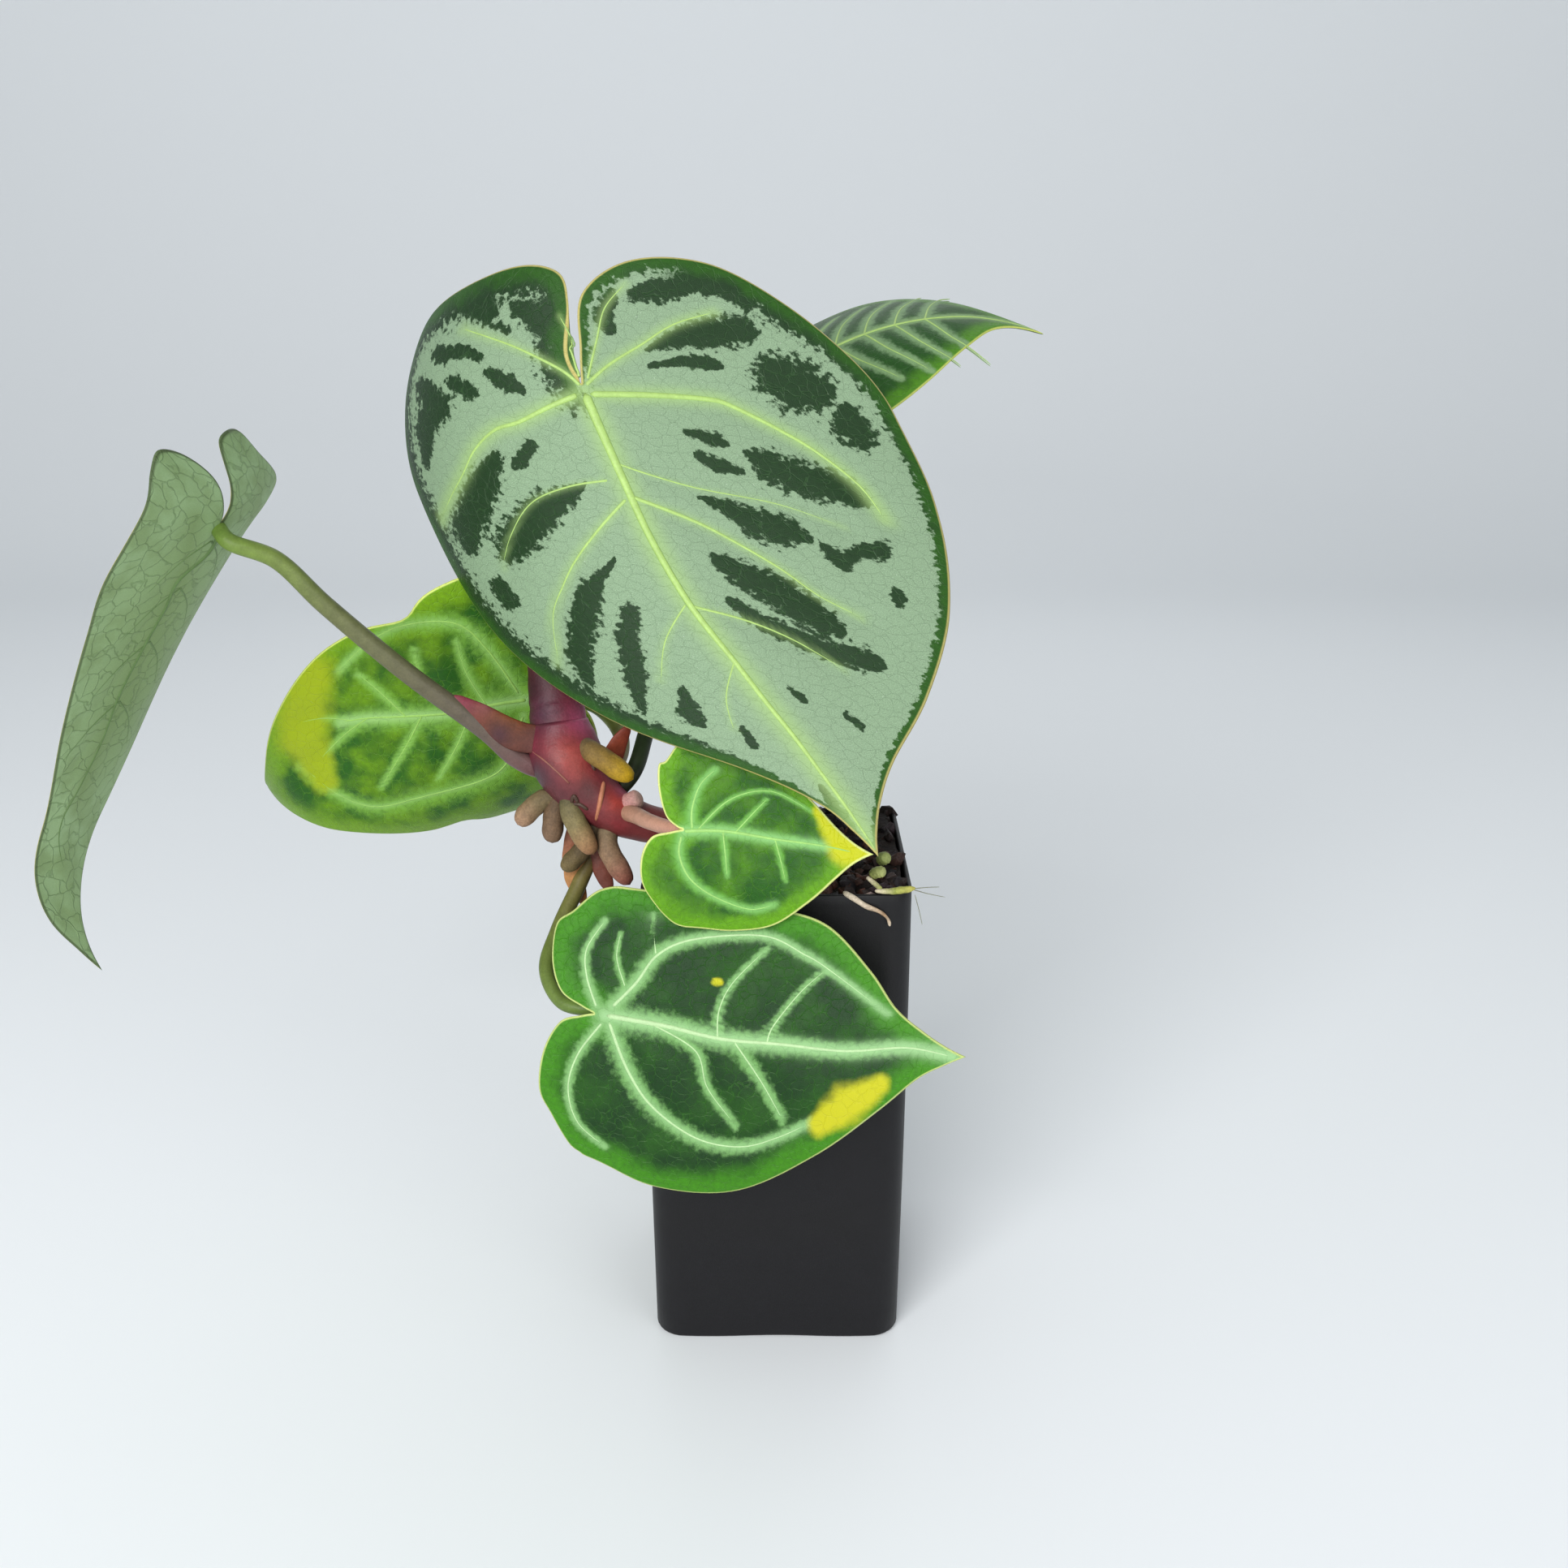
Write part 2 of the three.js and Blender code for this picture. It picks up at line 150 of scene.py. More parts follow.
def linear(colour: Colour) -> tuple[float, float, float, float]:
    """A screen colour as a shader colour.

    Args:
        colour: red, green and blue from 0 to 255.

    Returns:
        Linear red, green, blue and an alpha of 1.
    """
    shares = [channel / 255 for channel in colour]
    made = [s / 12.92 if s <= 0.04045 else ((s + 0.055) / 1.055) ** 2.4 for s in shares]
    return made[0], made[1], made[2], 1.0


def smooth_curve(points: np.ndarray, shares: np.ndarray) -> np.ndarray:
    """Places on a smooth curve whose points are evenly spaced along it.

    Args:
        points: rows of coordinates that the curve passes through.
        shares: places along the curve from 0 to 1.

    Returns:
        One row of coordinates for each share.
    """
    last = len(points) - 1
    place = np.clip(shares, 0, 1) * last
    index = np.minimum(place.astype(int), last - 1)
    part = (place - index)[:, None]
    before, start = points[np.maximum(index - 1, 0)], points[index]
    end, after = points[index + 1], points[np.minimum(index + 2, last)]
    leave, arrive = (end - before) / 2, (after - start) / 2
    cubic = 2 * start - 2 * end + leave + arrive
    square = 3 * end - 3 * start - 2 * leave - arrive
    return cubic * part**3 + square * part**2 + leave * part + start


def path_curve(points: np.ndarray, shares: np.ndarray) -> np.ndarray:
    """Places on a smooth curve that stays close to unevenly spaced points.

    Args:
        points: rows of coordinates that the curve passes through.
        shares: places along the curve from 0 to 1.

    Returns:
        One row of coordinates for each share.
    """
    first, final = 2 * points[0] - points[1], 2 * points[-1] - points[-2]
    full = np.vstack([first, points, final])
    knots = np.sqrt(np.linalg.norm(np.diff(full, axis=0), axis=1))
    knots = np.maximum(knots, 1e-3)[:, None]
    last = len(points) - 1
    place = np.clip(shares, 0, 1) * last
    index = np.minimum(place.astype(int), last - 1)
    part = (place - index)[:, None]
    p0, p1, p2, p3 = (full[index + k] for k in range(4))
    d0, d1, d2 = (knots[index + k] for k in range(3))
    leave = ((p1 - p0) / d0 - (p2 - p0) / (d0 + d1) + (p2 - p1) / d1) * d1
    arrive = ((p2 - p1) / d1 - (p3 - p1) / (d1 + d2) + (p3 - p2) / d2) * d1
    cubic = 2 * p1 - 2 * p2 + leave + arrive
    square = 3 * p2 - 3 * p1 - 2 * leave - arrive
    return cubic * part**3 + square * part**2 + leave * part + p1


def unit(rows: np.ndarray) -> np.ndarray:
    """Rows scaled to length 1.

    Args:
        rows: rows of coordinates.

    Returns:
        The scaled rows.
    """
    return rows / np.maximum(np.linalg.norm(rows, axis=1, keepdims=True), 1e-12)


def stroke_field(points: np.ndarray, line: np.ndarray) -> np.ndarray:
    """How deep points lie inside a brush stroke.

    Args:
        points: rows of two coordinates.
        line: rows of two coordinates and the stroke's half width there.

    Returns:
        1 on the line, 0 at its half width, less outside.
    """
    best = np.full(len(points), OUTSIDE)
    for start, end in zip(line[:-1], line[1:]):
        along = end[:2] - start[:2]
        share = np.clip((points - start[:2]) @ along / max(along @ along, TINY), 0, 1)
        distance = np.linalg.norm(points - start[:2] - share[:, None] * along, axis=1)
        width = start[2] + share * (end[2] - start[2])
        best = np.maximum(best, 1 - distance / np.maximum(width, 1e-6))
    return best


def line_distance(points: np.ndarray, line: np.ndarray) -> np.ndarray:
    """Distance of points from a polyline.

    Args:
        points: rows of two coordinates.
        line: rows of two coordinates.

    Returns:
        One distance for each point.
    """
    best = np.full(len(points), FAR)
    for start, end in zip(line[:-1], line[1:]):
        along = end - start
        share = np.clip((points - start) @ along / max(along @ along, TINY), 0, 1)
        best = np.minimum(best, np.linalg.norm(points - start - share[:, None] * along, axis=1))
    return best


def nearest_distance(points: np.ndarray, lines: Sequence[np.ndarray]) -> np.ndarray:
    """Distance of points from the nearest of several polylines.

    Args:
        points: rows of two coordinates.
        lines: the polylines.

    Returns:
        One distance for each point.
    """
    return np.min([line_distance(points, line) for line in lines], axis=0)


class ShaderSheet:
    """Adds shader nodes to one node tree and joins them."""

    def __init__(self, tree: bpy.types.NodeTree) -> None:
        """Starts on a tree.

        Args:
            tree: the node tree to add to.
        """
        self.tree = tree

    def add(self, kind: str, inputs: dict | None = None, **settings: object) -> bpy.types.Node:
        """Adds one node.

        Args:
            kind: the node's type.
            inputs: values or other nodes' outputs by input name or number.
            settings: the node's own options.

        Returns:
            The node.
        """
        node = self.tree.nodes.new(kind)
        for name, value in settings.items():
            setattr(node, name, value)
        for name, value in (inputs or {}).items():
            if isinstance(value, bpy.types.NodeSocket):
                self.tree.links.new(value, node.inputs[name])
            else:
                node.inputs[name].default_value = value
        return node

    def attribute(self, name: str, output: str = "Fac") -> bpy.types.NodeSocket:
        """Reads a value that is stored on the mesh.

        Args:
            name: the attribute's name.
            output: Fac for a number, Vector for a place, Color for a colour.

        Returns:
            The output socket.
        """
        return self.add("ShaderNodeAttribute", attribute_name=name).outputs[output]

    def math(self, operation: str, first: object, second: object = 0.0) -> bpy.types.NodeSocket:
        """Works on two numbers.

        Args:
            operation: the math node's operation.
            first: the first number or socket.
            second: the second number or socket.

        Returns:
            The result's socket.
        """
        return self.add("ShaderNodeMath", {0: first, 1: second}, operation=operation).outputs[0]

    def mix(self, factor: object, first: object, second: object) -> bpy.types.NodeSocket:
        """Mixes two colours.

        Args:
            factor: 0 for the first colour, 1 for the second.
            first: a colour or socket.
            second: a colour or socket.

        Returns:
            The mixed colour's socket.
        """
        node = self.add("ShaderNodeMix", {0: factor, 6: first, 7: second}, data_type="RGBA")
        return node.outputs[2]

    def step(self, value: object, low: object, high: object) -> bpy.types.NodeSocket:
        """A smooth step.

        Args:
            value: the number to step on.
            low: where the step starts.
            high: where it ends.

        Returns:
            0 below low, 1 above high.
        """
        inputs = {"Value": value, "From Min": low, "From Max": high}
        return self.add("ShaderNodeMapRange", inputs, interpolation_type="SMOOTHSTEP").outputs[0]

    def noise(self, vector: object, scale: object, detail: float = 3.0) -> bpy.types.NodeSocket:
        """Cloudy noise from about 0.2 to 0.8.

        Args:
            vector: the place to read the noise at.
            scale: how fine it is.
            detail: how many finer layers are added.

        Returns:
            The noise value's socket.
        """
        inputs = {"Vector": vector, "Scale": scale, "Detail": detail, "Roughness": 0.6}
        return self.add("ShaderNodeTexNoise", inputs).outputs[0]

    def bump(
        self, surface: bpy.types.Node, height: bpy.types.NodeSocket, strength: float, depth: float
    ) -> None:
        """Raises fine relief on a surface.

        Args:
            surface: the Principled node.
            height: the relief's height from 0 to 1.
            strength: how clearly it shows.
            depth: its depth in metres.
        """
        inputs = {"Height": height, "Strength": strength, "Distance": depth}
        self.tree.links.new(self.add("ShaderNodeBump", inputs).outputs[0], surface.inputs["Normal"])

    def group(self, tree: bpy.types.NodeTree, inputs: dict) -> bpy.types.Node:
        """Adds a shared effect.

        Args:
            tree: the effect's node group.
            inputs: its inputs by name.

        Returns:
            The group node.
        """
        return self.add("ShaderNodeGroup", inputs, node_tree=tree)


def effect(
    name: str, inputs: dict[str, str], outputs: dict[str, str]
) -> tuple[ShaderSheet, bpy.types.Node, bpy.types.Node]:
    """Starts a shared effect with named inputs and outputs.

    Args:
        name: the effect's name.
        inputs: socket type by input name.
        outputs: socket type by output name.

    Returns:
        The sheet to draw on, the group's input node and its output node.
    """
    tree = bpy.data.node_groups.new(name, "ShaderNodeTree")
    for socket, kind in inputs.items():
        tree.interface.new_socket(socket, in_out="INPUT", socket_type=kind)
    for socket, kind in outputs.items():
        tree.interface.new_socket(socket, in_out="OUTPUT", socket_type=kind)
    sheet = ShaderSheet(tree)
    return sheet, sheet.add("NodeGroupInput"), sheet.add("NodeGroupOutput")


NUMBER, VECTOR, COLOUR = "NodeSocketFloat", "NodeSocketVector", "NodeSocketColor"


@cache
def feather_effect() -> bpy.types.NodeTree:
    """A mask whose edge is ragged, as where silver tissue meets green.

    Returns:
        The node group, made once.
    """
    inputs = {"Vector": VECTOR, "Field": NUMBER, "Scale": NUMBER, "Ragged": NUMBER, "Soft": NUMBER}
    sheet, given, result = effect("feather", inputs, {"Mask": NUMBER})
    coarse = sheet.noise(given.outputs["Vector"], given.outputs["Scale"], 6.0)
    centred = sheet.math("MULTIPLY", sheet.math("SUBTRACT", coarse, 0.5), given.outputs["Ragged"])
    value = sheet.math("ADD", given.outputs["Field"], centred)
    low = sheet.math("MULTIPLY", given.outputs["Soft"], -1.0)
    sheet.tree.links.new(sheet.step(value, low, given.outputs["Soft"]), result.inputs["Mask"])
    return sheet.tree


@cache
def grain_effect() -> bpy.types.NodeTree:
    """Fine light and dark grain over a colour.

    Returns:
        The node group, made once.
    """
    inputs = {"Vector": VECTOR, "Color": COLOUR, "Scale": NUMBER, "Amount": NUMBER}
    sheet, given, result = effect("grain", inputs, {"Color": COLOUR, "Grain": NUMBER})
    noise = sheet.noise(given.outputs["Vector"], given.outputs["Scale"], 2.0)
    signed = sheet.math("MULTIPLY", sheet.math("SUBTRACT", noise, 0.5), given.outputs["Amount"])
    bright = sheet.math("ADD", signed, 1.0)
    scaled = sheet.add("ShaderNodeVectorMath", {0: given.outputs["Color"]}, operation="SCALE")
    sheet.tree.links.new(bright, scaled.inputs["Scale"])
    sheet.tree.links.new(scaled.outputs[0], result.inputs["Color"])
    sheet.tree.links.new(noise, result.inputs["Grain"])
    return sheet.tree


@cache
def net_effect() -> bpy.types.NodeTree:
    """The fine net of small veins in a leaf.

    Returns:
        The node group, made once.
    """
    bend_scale, bend_reach = 0.25, 3.0
    inputs = {"Vector": VECTOR, "Scale": NUMBER, "Width": NUMBER}
    sheet, given, result = effect("net", inputs, {"Mask": NUMBER})
    bend = sheet.add("ShaderNodeTexNoise", {"Vector": given.outputs["Vector"], "Scale": bend_scale})
    bent = {0: bend.outputs["Color"], "Scale": bend_reach}
    shift = sheet.add("ShaderNodeVectorMath", bent, operation="SCALE")
    place = sheet.add("ShaderNodeVectorMath", {0: given.outputs["Vector"], 1: shift.outputs[0]})
    cells = sheet.add(
        "ShaderNodeTexVoronoi",
        {"Vector": place.outputs[0], "Scale": given.outputs["Scale"]},
        feature="DISTANCE_TO_EDGE",
    )
    line = sheet.step(cells.outputs["Distance"], 0.0, given.outputs["Width"])
    sheet.tree.links.new(sheet.math("SUBTRACT", 1.0, line), result.inputs["Mask"])
    return sheet.tree


def new_material(name: str) -> tuple[bpy.types.Material, ShaderSheet, bpy.types.Node]:
    """Starts a material.

    Args:
        name: the material's name.

    Returns:
        The material, the sheet to draw on and its Principled node.
    """
    material = bpy.data.materials.new(name)
    material.use_nodes = True
    sheet = ShaderSheet(material.node_tree)
    return material, sheet, material.node_tree.nodes["Principled BSDF"]


# How fine the leaves' patterns are, in waves or cells per millimetre
CLOUD_SCALE, THIN_SCALE, UNDER_CLOUD_SCALE = 0.12, 0.07, 0.09
FLECK_SCALE, SPARKLE_SCALE, MOTTLE_SCALE, UNDER_GRAIN_SCALE = 2.2, 4.0, 0.8, 2.5
NET_SCALE, NET_WIDTH = 0.32, 0.05
UNDER_NET_SCALE, UNDER_NET_WIDTH = 0.2, 0.06

# How fine, how ragged and how soft the edges of the yellow patches are
WARM_EDGE = (0.2, 0.8, 0.5)


@dataclass(frozen=True)
class LeafFinish:
    """The colours and surface of one kind of leaf.

    Cell is the green between the veins and rim the green near the margin. Where the leaf is silver, pale lies
    in flecks over ground. Glow tints the veins, margin is the thin edge line, and warm the yellow patches.
    """

    name: str
    cell: Colour
    rim: Colour
    pale: Colour
    margin: Colour
    warm: Colour
    rim_depth: float
    ground: Colour
    glow: Colour
    ragged: float
    grain: float
    net: float
    net_colour: Colour
    soft: float = 0.16
    edge_scale: float = 0.55
    cloud_depth: float = 8.0
    patchy: float = 0.0
    mottle: float = 0.7
    silver_net: float = 0.07
    roughness: float = 0.42
    pale_roughness: float = 0.5
    bump: float = 0.5
    bump_depth: float = 0.0003
    gloss: float = 0.22
    flecks: tuple[float, float] = (0.7, 1.15)

    @cache
    def material(self) -> bpy.types.Material:
        """Makes the leaf's material from the fields stored on its mesh.

        Returns:
            The material, made once.
        """
        material, sheet, surface = new_material(self.name)
        flat = sheet.attribute("flat", "Vector")
        rim = sheet.attribute("rim")
        inputs = {"Vector": flat, "Scale": NET_SCALE, "Width": NET_WIDTH}
        netting = sheet.group(net_effect(), inputs).outputs[0]
        edge = (self.edge_scale, self.ragged, self.soft)
        bare = sheet.math("SUBTRACT", 1.0, self.mask(sheet, flat, "dark", edge))
        silver = sheet.math("MULTIPLY", self.mask(sheet, flat, "pale", edge), bare)
        sparkle = self.silver(sheet, flat)
        netted = sheet.math("MULTIPLY", netting, self.silver_net)
        shaded = sheet.mix(netted, sparkle.outputs[0], linear(self.cell))
        colour = sheet.mix(silver, self.green(sheet, flat, rim, netting), shaded)
        colour = sheet.mix(sheet.attribute("glow"), colour, linear(self.glow))
        colour = sheet.mix(self.mask(sheet, flat, "warm", WARM_EDGE), colour, linear(self.warm))
        line = sheet.math("SUBTRACT", 1.0, sheet.step(rim, 0.25, 0.7))
        colour = sheet.mix(line, colour, linear(self.margin))
        sheet.tree.links.new(colour, surface.inputs["Base Color"])
        rough = sheet.math("MULTIPLY_ADD", silver, self.pale_roughness - self.roughness)
        rough.node.inputs[2].default_value = self.roughness
        sheet.tree.links.new(rough, surface.inputs["Roughness"])
        surface.inputs["Specular IOR Level"].default_value = self.gloss
        height = sheet.math("ADD", sparkle.outputs["Grain"], sheet.math("MULTIPLY", netting, -0.8))
        sheet.bump(surface, height, self.bump, self.bump_depth)
        return material

    def mask(
        self, sheet: ShaderSheet, flat: bpy.types.NodeSocket, name: str, edge: tuple[float, float, float]
    ) -> bpy.types.NodeSocket:
        """Where a field stored on the mesh is above 0, with a ragged edge.

        Args:
            sheet: the material's sheet.
            flat: the place on the flat leaf.
            name: the field's name.
            edge: how fine, how ragged and how soft the edge is.

        Returns:
            The mask's socket.
        """
        inputs = dict(zip(("Scale", "Ragged", "Soft"), edge))
        field = sheet.attribute(name)
        return sheet.group(feather_effect(), {"Vector": flat, "Field": field, **inputs}).outputs[0]

    def green(
        self,
        sheet: ShaderSheet,
        flat: bpy.types.NodeSocket,
        rim: bpy.types.NodeSocket,
        netting: bpy.types.NodeSocket,
    ) -> bpy.types.NodeSocket:
        """The green tissue: rim and cells with the fine net.

        Args:
            sheet: the material's sheet.
            flat: the place on the flat leaf.
            rim: the distance from the margin.
            netting: the mask of the net.

        Returns:
            The colour's socket.
        """
        centred = sheet.math("SUBTRACT", sheet.noise(flat, CLOUD_SCALE), 0.5)
        cloud = sheet.math("MULTIPLY", centred, self.cloud_depth)
        inner = sheet.step(sheet.math("ADD", rim, cloud), self.rim_depth * 0.3, self.rim_depth * 1.5)
        thin = sheet.step(sheet.noise(flat, THIN_SCALE, 2.0), 0.38, 0.66)
        kept = sheet.math("SUBTRACT", 1.0, sheet.math("MULTIPLY", thin, self.patchy))
        base = sheet.mix(sheet.math("MULTIPLY", inner, kept), linear(self.rim), linear(self.cell))
        base = sheet.mix(sheet.math("MULTIPLY", netting, self.net), base, linear(self.net_colour))
        inputs = {"Vector": flat, "Color": base, "Scale": MOTTLE_SCALE, "Amount": self.mottle}
        return sheet.group(grain_effect(), inputs).outputs[0]

    def silver(self, sheet: ShaderSheet, flat: bpy.types.NodeSocket) -> bpy.types.Node:
        """The silver tissue: pale flecks over a duller ground.

        Args:
            sheet: the material's sheet.
            flat: the place on the flat leaf.

        Returns:
            The node that gives its colour and its grain.
        """
        fleck = sheet.math("ADD", sheet.noise(flat, FLECK_SCALE, 2.0), sheet.attribute("density"))
        flecked = sheet.mix(sheet.step(fleck, *self.flecks), linear(self.ground), linear(self.pale))
        inputs = {"Vector": flat, "Color": flecked, "Scale": SPARKLE_SCALE, "Amount": self.grain}
        return sheet.group(grain_effect(), inputs)


@dataclass(frozen=True)
class UndersideFinish:
    """The back of a leaf: paler, with its net of veins standing out."""

    name: str
    colour: Colour
    shade: Colour
    net: Colour
    margin: Colour
    cloud: float = 0.45
    net_strength: float = 0.4
    grain: float = 0.35
    roughness: float = 0.6
    bump: float = 0.5
    bump_depth: float = 0.0004

    @cache
    def material(self) -> bpy.types.Material:
        """Makes the underside's material.

        Returns:
            The material, made once.
        """
        material, sheet, surface = new_material(self.name)
        flat = sheet.attribute("flat", "Vector")
        cloud = sheet.step(sheet.noise(flat, UNDER_CLOUD_SCALE), 0.35, 0.65)
        shade = sheet.step(sheet.attribute("shade"), -2.5, 3.5)
        amount = sheet.math("MAXIMUM", sheet.math("MULTIPLY", cloud, self.cloud), shade)
        base = sheet.mix(amount, linear(self.colour), linear(self.shade))
        inputs = {"Vector": flat, "Scale": UNDER_NET_SCALE, "Width": UNDER_NET_WIDTH}
        net = sheet.group(net_effect(), inputs).outputs[0]
        base = sheet.mix(sheet.math("MULTIPLY", net, self.net_strength), base, linear(self.net))
        inputs = {"Vector": flat, "Color": base, "Scale": UNDER_GRAIN_SCALE, "Amount": self.grain}
        grain = sheet.group(grain_effect(), inputs)
        line = sheet.math("SUBTRACT", 1.0, sheet.step(sheet.attribute("rim"), 0.3, 0.9))
        colour = sheet.mix(line, grain.outputs[0], linear(self.margin))
        sheet.tree.links.new(colour, surface.inputs["Base Color"])
        surface.inputs["Roughness"].default_value = self.roughness
        sheet.bump(surface, net, self.bump, self.bump_depth)
        return material


@dataclass(frozen=True)
class TintFinish:
    """A surface that takes its colour from the tints stored on its mesh, with mottling and grain."""

    name: str
    mottle: float = 0.35
    mottle_scale: float = 350.0
    grain: float = 0.25
    grain_scale: float = 1800.0
    roughness: float = 0.5
    bump: float = 0.35
    depth: float = 0.0004
    gloss: float = 0.3

    @cache
    def material(self) -> bpy.types.Material:
        """Makes the material.

        Returns:
            The material, made once.
        """
        material, sheet, surface = new_material(self.name)
        place = sheet.add("ShaderNodeTexCoord").outputs["Object"]
        tint = sheet.attribute("tint", "Color")
        layers = []
        for scale, amount in ((self.mottle_scale, self.mottle), (self.grain_scale, self.grain)):
            inputs = {"Vector": place, "Color": tint, "Scale": scale, "Amount": amount * 2}
            layers.append(sheet.group(grain_effect(), inputs))
            tint = layers[-1].outputs[0]
        coarse, fine = (layer.outputs["Grain"] for layer in layers)
        sheet.tree.links.new(tint, surface.inputs["Base Color"])
        surface.inputs["Roughness"].default_value = self.roughness
        surface.inputs["Specular IOR Level"].default_value = self.gloss
        height = sheet.math("ADD", coarse, sheet.math("MULTIPLY", fine, 0.4))
        sheet.bump(surface, height, self.bump, self.depth)
        return material


VEIN = TintFinish("vein", mottle=0.2, grain=0.2, roughness=0.45, bump=0.2)
STALK = TintFinish("petiole", mottle=0.3, roughness=0.42, bump=0.3)
STEM = TintFinish("crown", roughness=0.45, bump=0.4)
AERIAL_ROOT = TintFinish("aerial_root", mottle_scale=500, grain=0.5, roughness=0.7, bump=0.5)
SHEATH = TintFinish("sheath", mottle=0.4, grain=0.3, bump=0.5)
POT_BLACK = TintFinish(
    "pot_black", mottle=0.3, mottle_scale=120, grain=0.8, grain_scale=2600, bump=0.4, depth=0.0002
)
BARK_BED = TintFinish(
    "bark_bed", mottle=1.2, mottle_scale=260, grain=0.9, grain_scale=900, roughness=0.85, bump=0.9,
    depth=0.001,
)
BARK_CHIPS = TintFinish(
    "bark_chips", mottle=0.9, mottle_scale=500, grain=0.9, grain_scale=1600, roughness=0.7, bump=0.8,
    depth=0.0006,
)
SURFACE_ROOT = TintFinish("surface_root", mottle=0.4, grain=0.5, roughness=0.6, bump=0.5)


def place_piece(
    name: str,
    bm: bmesh.types.BMesh,
    finishes: Sequence[LeafFinish | UndersideFinish | TintFinish],
    nodes: Sequence[str] = (),
    smooth: bool = True,
) -> bpy.types.Object:
    """Turns a built mesh into a piece of the plant.

    Args:
        name: the piece's name.
        bm: the mesh, in metres. It is freed.
        finishes: the piece's finishes in the order of its material numbers.
        nodes: the solids of the plant that it is shown for.
        smooth: whether its faces are shaded smooth.

    Returns:
        The piece.
    """
    bmesh.ops.recalc_face_normals(bm, faces=bm.faces)
    mesh = bpy.data.meshes.new(name)
    for polygon in bm.faces:
        polygon.smooth = smooth
    bm.to_mesh(mesh)
    bm.free()
    for finish in finishes:
        mesh.materials.append(finish.material())
    piece = bpy.data.objects.new(name, mesh)
    bpy.context.scene.collection.objects.link(piece)
    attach(piece, "root")
    if nodes:
        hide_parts(*nodes)
    return piece


@dataclass(frozen=True)
class Strand:
    """A rounded solid along a smooth path: stems, roots, stalks, sheaths and veins.

    Each path point is x, y, z, half width and, where it isn't the same, half thickness.
    """

    path: tuple[Point, ...]
    colours: tuple[Colour, ...]
    facing: Point = (0.2, -1.0, 0.1)
    sides: int = 16
    rings: int = 40
    start_cap: float = 0.03
    end_cap: float = 0.03
    lumps: float = 0.0

    def add(self, bm: bmesh.types.BMesh) -> list[bmesh.types.BMVert]:
        """Adds the strand to a mesh.

        Args:
            bm: the mesh to add to, in metres.

        Returns:
            The strand's vertices.
        """
        points = np.array([p[:3] for p in self.path], float)
        sizes = np.array([[p[3], p[4] if len(p) > 4 else p[3], 0] for p in self.path], float)
        facing = np.tile(np.array(self.facing, float), (len(points), 1))
        return bend_ball(bm, points, sizes, facing, self)


def bend_ball(
    bm: bmesh.types.BMesh, points: np.ndarray, sizes: np.ndarray, facing: np.ndarray, strand: Strand
) -> list[bmesh.types.BMVert]:
    """Draws a ball out along a path, its poles at the path's ends.

    Args:
        bm: the mesh to add to, in metres.
        points: the path's points.
        sizes: half width and half thickness at each point.
        facing: the direction that the thickness is measured in, at each point.
        strand: the counts, end caps, lumps and colours.

    Returns:
        The new vertices.
    """
    layer = bm.verts.layers.float_color.get("tint") or bm.verts.layers.float_color.new("tint")
    counts = {"u_segments": strand.sides, "v_segments": strand.rings}
    made = bmesh.ops.create_uvsphere(bm, radius=1.0, **counts)["verts"]
    ball = np.array([v.co for v in made], float)
    turn = np.arctan2(ball[:, 1], ball[:, 0])
    share = 1 - np.arccos(np.clip(ball[:, 2], -1, 1)) / math.pi
    small = 1e-3
    centre = path_curve(points, share)
    ahead = unit(path_curve(points, share + small) - path_curve(points, share - small))
    face = path_curve(facing, share)
    across = unit(np.cross(ahead, face))
    thick = unit(np.cross(across, ahead))
    size = path_curve(sizes, share)
    start = np.clip(1 - share / strand.start_cap, 0, 1)
    end = np.clip(1 - (1 - share) / strand.end_cap, 0, 1)
    close = np.sqrt(np.clip(1 - start**2, 0, 1)) * np.sqrt(np.clip(1 - end**2, 0, 1))
    short_waves, long_waves = 31, 17
    waves = np.sin(share * short_waves + turn * 2) + np.sin(share * long_waves - turn * 3 + 1)
    lump = 1 + strand.lumps * waves / 2
    wide = (np.cos(turn) * size[:, 0] * close * lump)[:, None]
    deep = (np.sin(turn) * size[:, 1] * close * lump)[:, None]
    placed = (centre + across * wide + thick * deep) * MM
    tints = np.array([linear(c) for c in strand.colours])
    stops = np.linspace(0, 1, len(tints))
    shades = np.stack([np.interp(share, stops, tints[:, k]) for k in range(4)], axis=1)
    for vertex, place, shade in zip(made, placed, shades):
        vertex.co = place
        vertex[layer] = shade
    return made


@dataclass(frozen=True)
class Spot:
    """A soft patch of another colour, placed by where it is seen in the photo."""

    pixel: Point
    radius: float
    colour: Colour
    strength: float = 1.0


def tint_spots(bm: bmesh.types.BMesh, spots: Sequence[Spot]) -> None:
    """Blends soft patches into the tints of a mesh.

    Args:
        bm: the mesh, in metres.
        spots: the patches, later ones over earlier ones.
    """
    layer = bm.verts.layers.float_color["tint"]
    vertices = bm.verts[:]
    pixels = PHOTO.project(np.array([v.co for v in vertices], float) / MM)
    shades = np.array([v[layer] for v in vertices], float)
    for spot in spots:
        away = np.linalg.norm(pixels - np.array(spot.pixel), axis=1) / spot.radius
        share = (spot.strength * np.exp(-away**2))[:, None]
        shades = shades * (1 - share) + np.array(linear(spot.colour)) * share
    for vertex, shade in zip(vertices, shades):
        vertex[layer] = shade


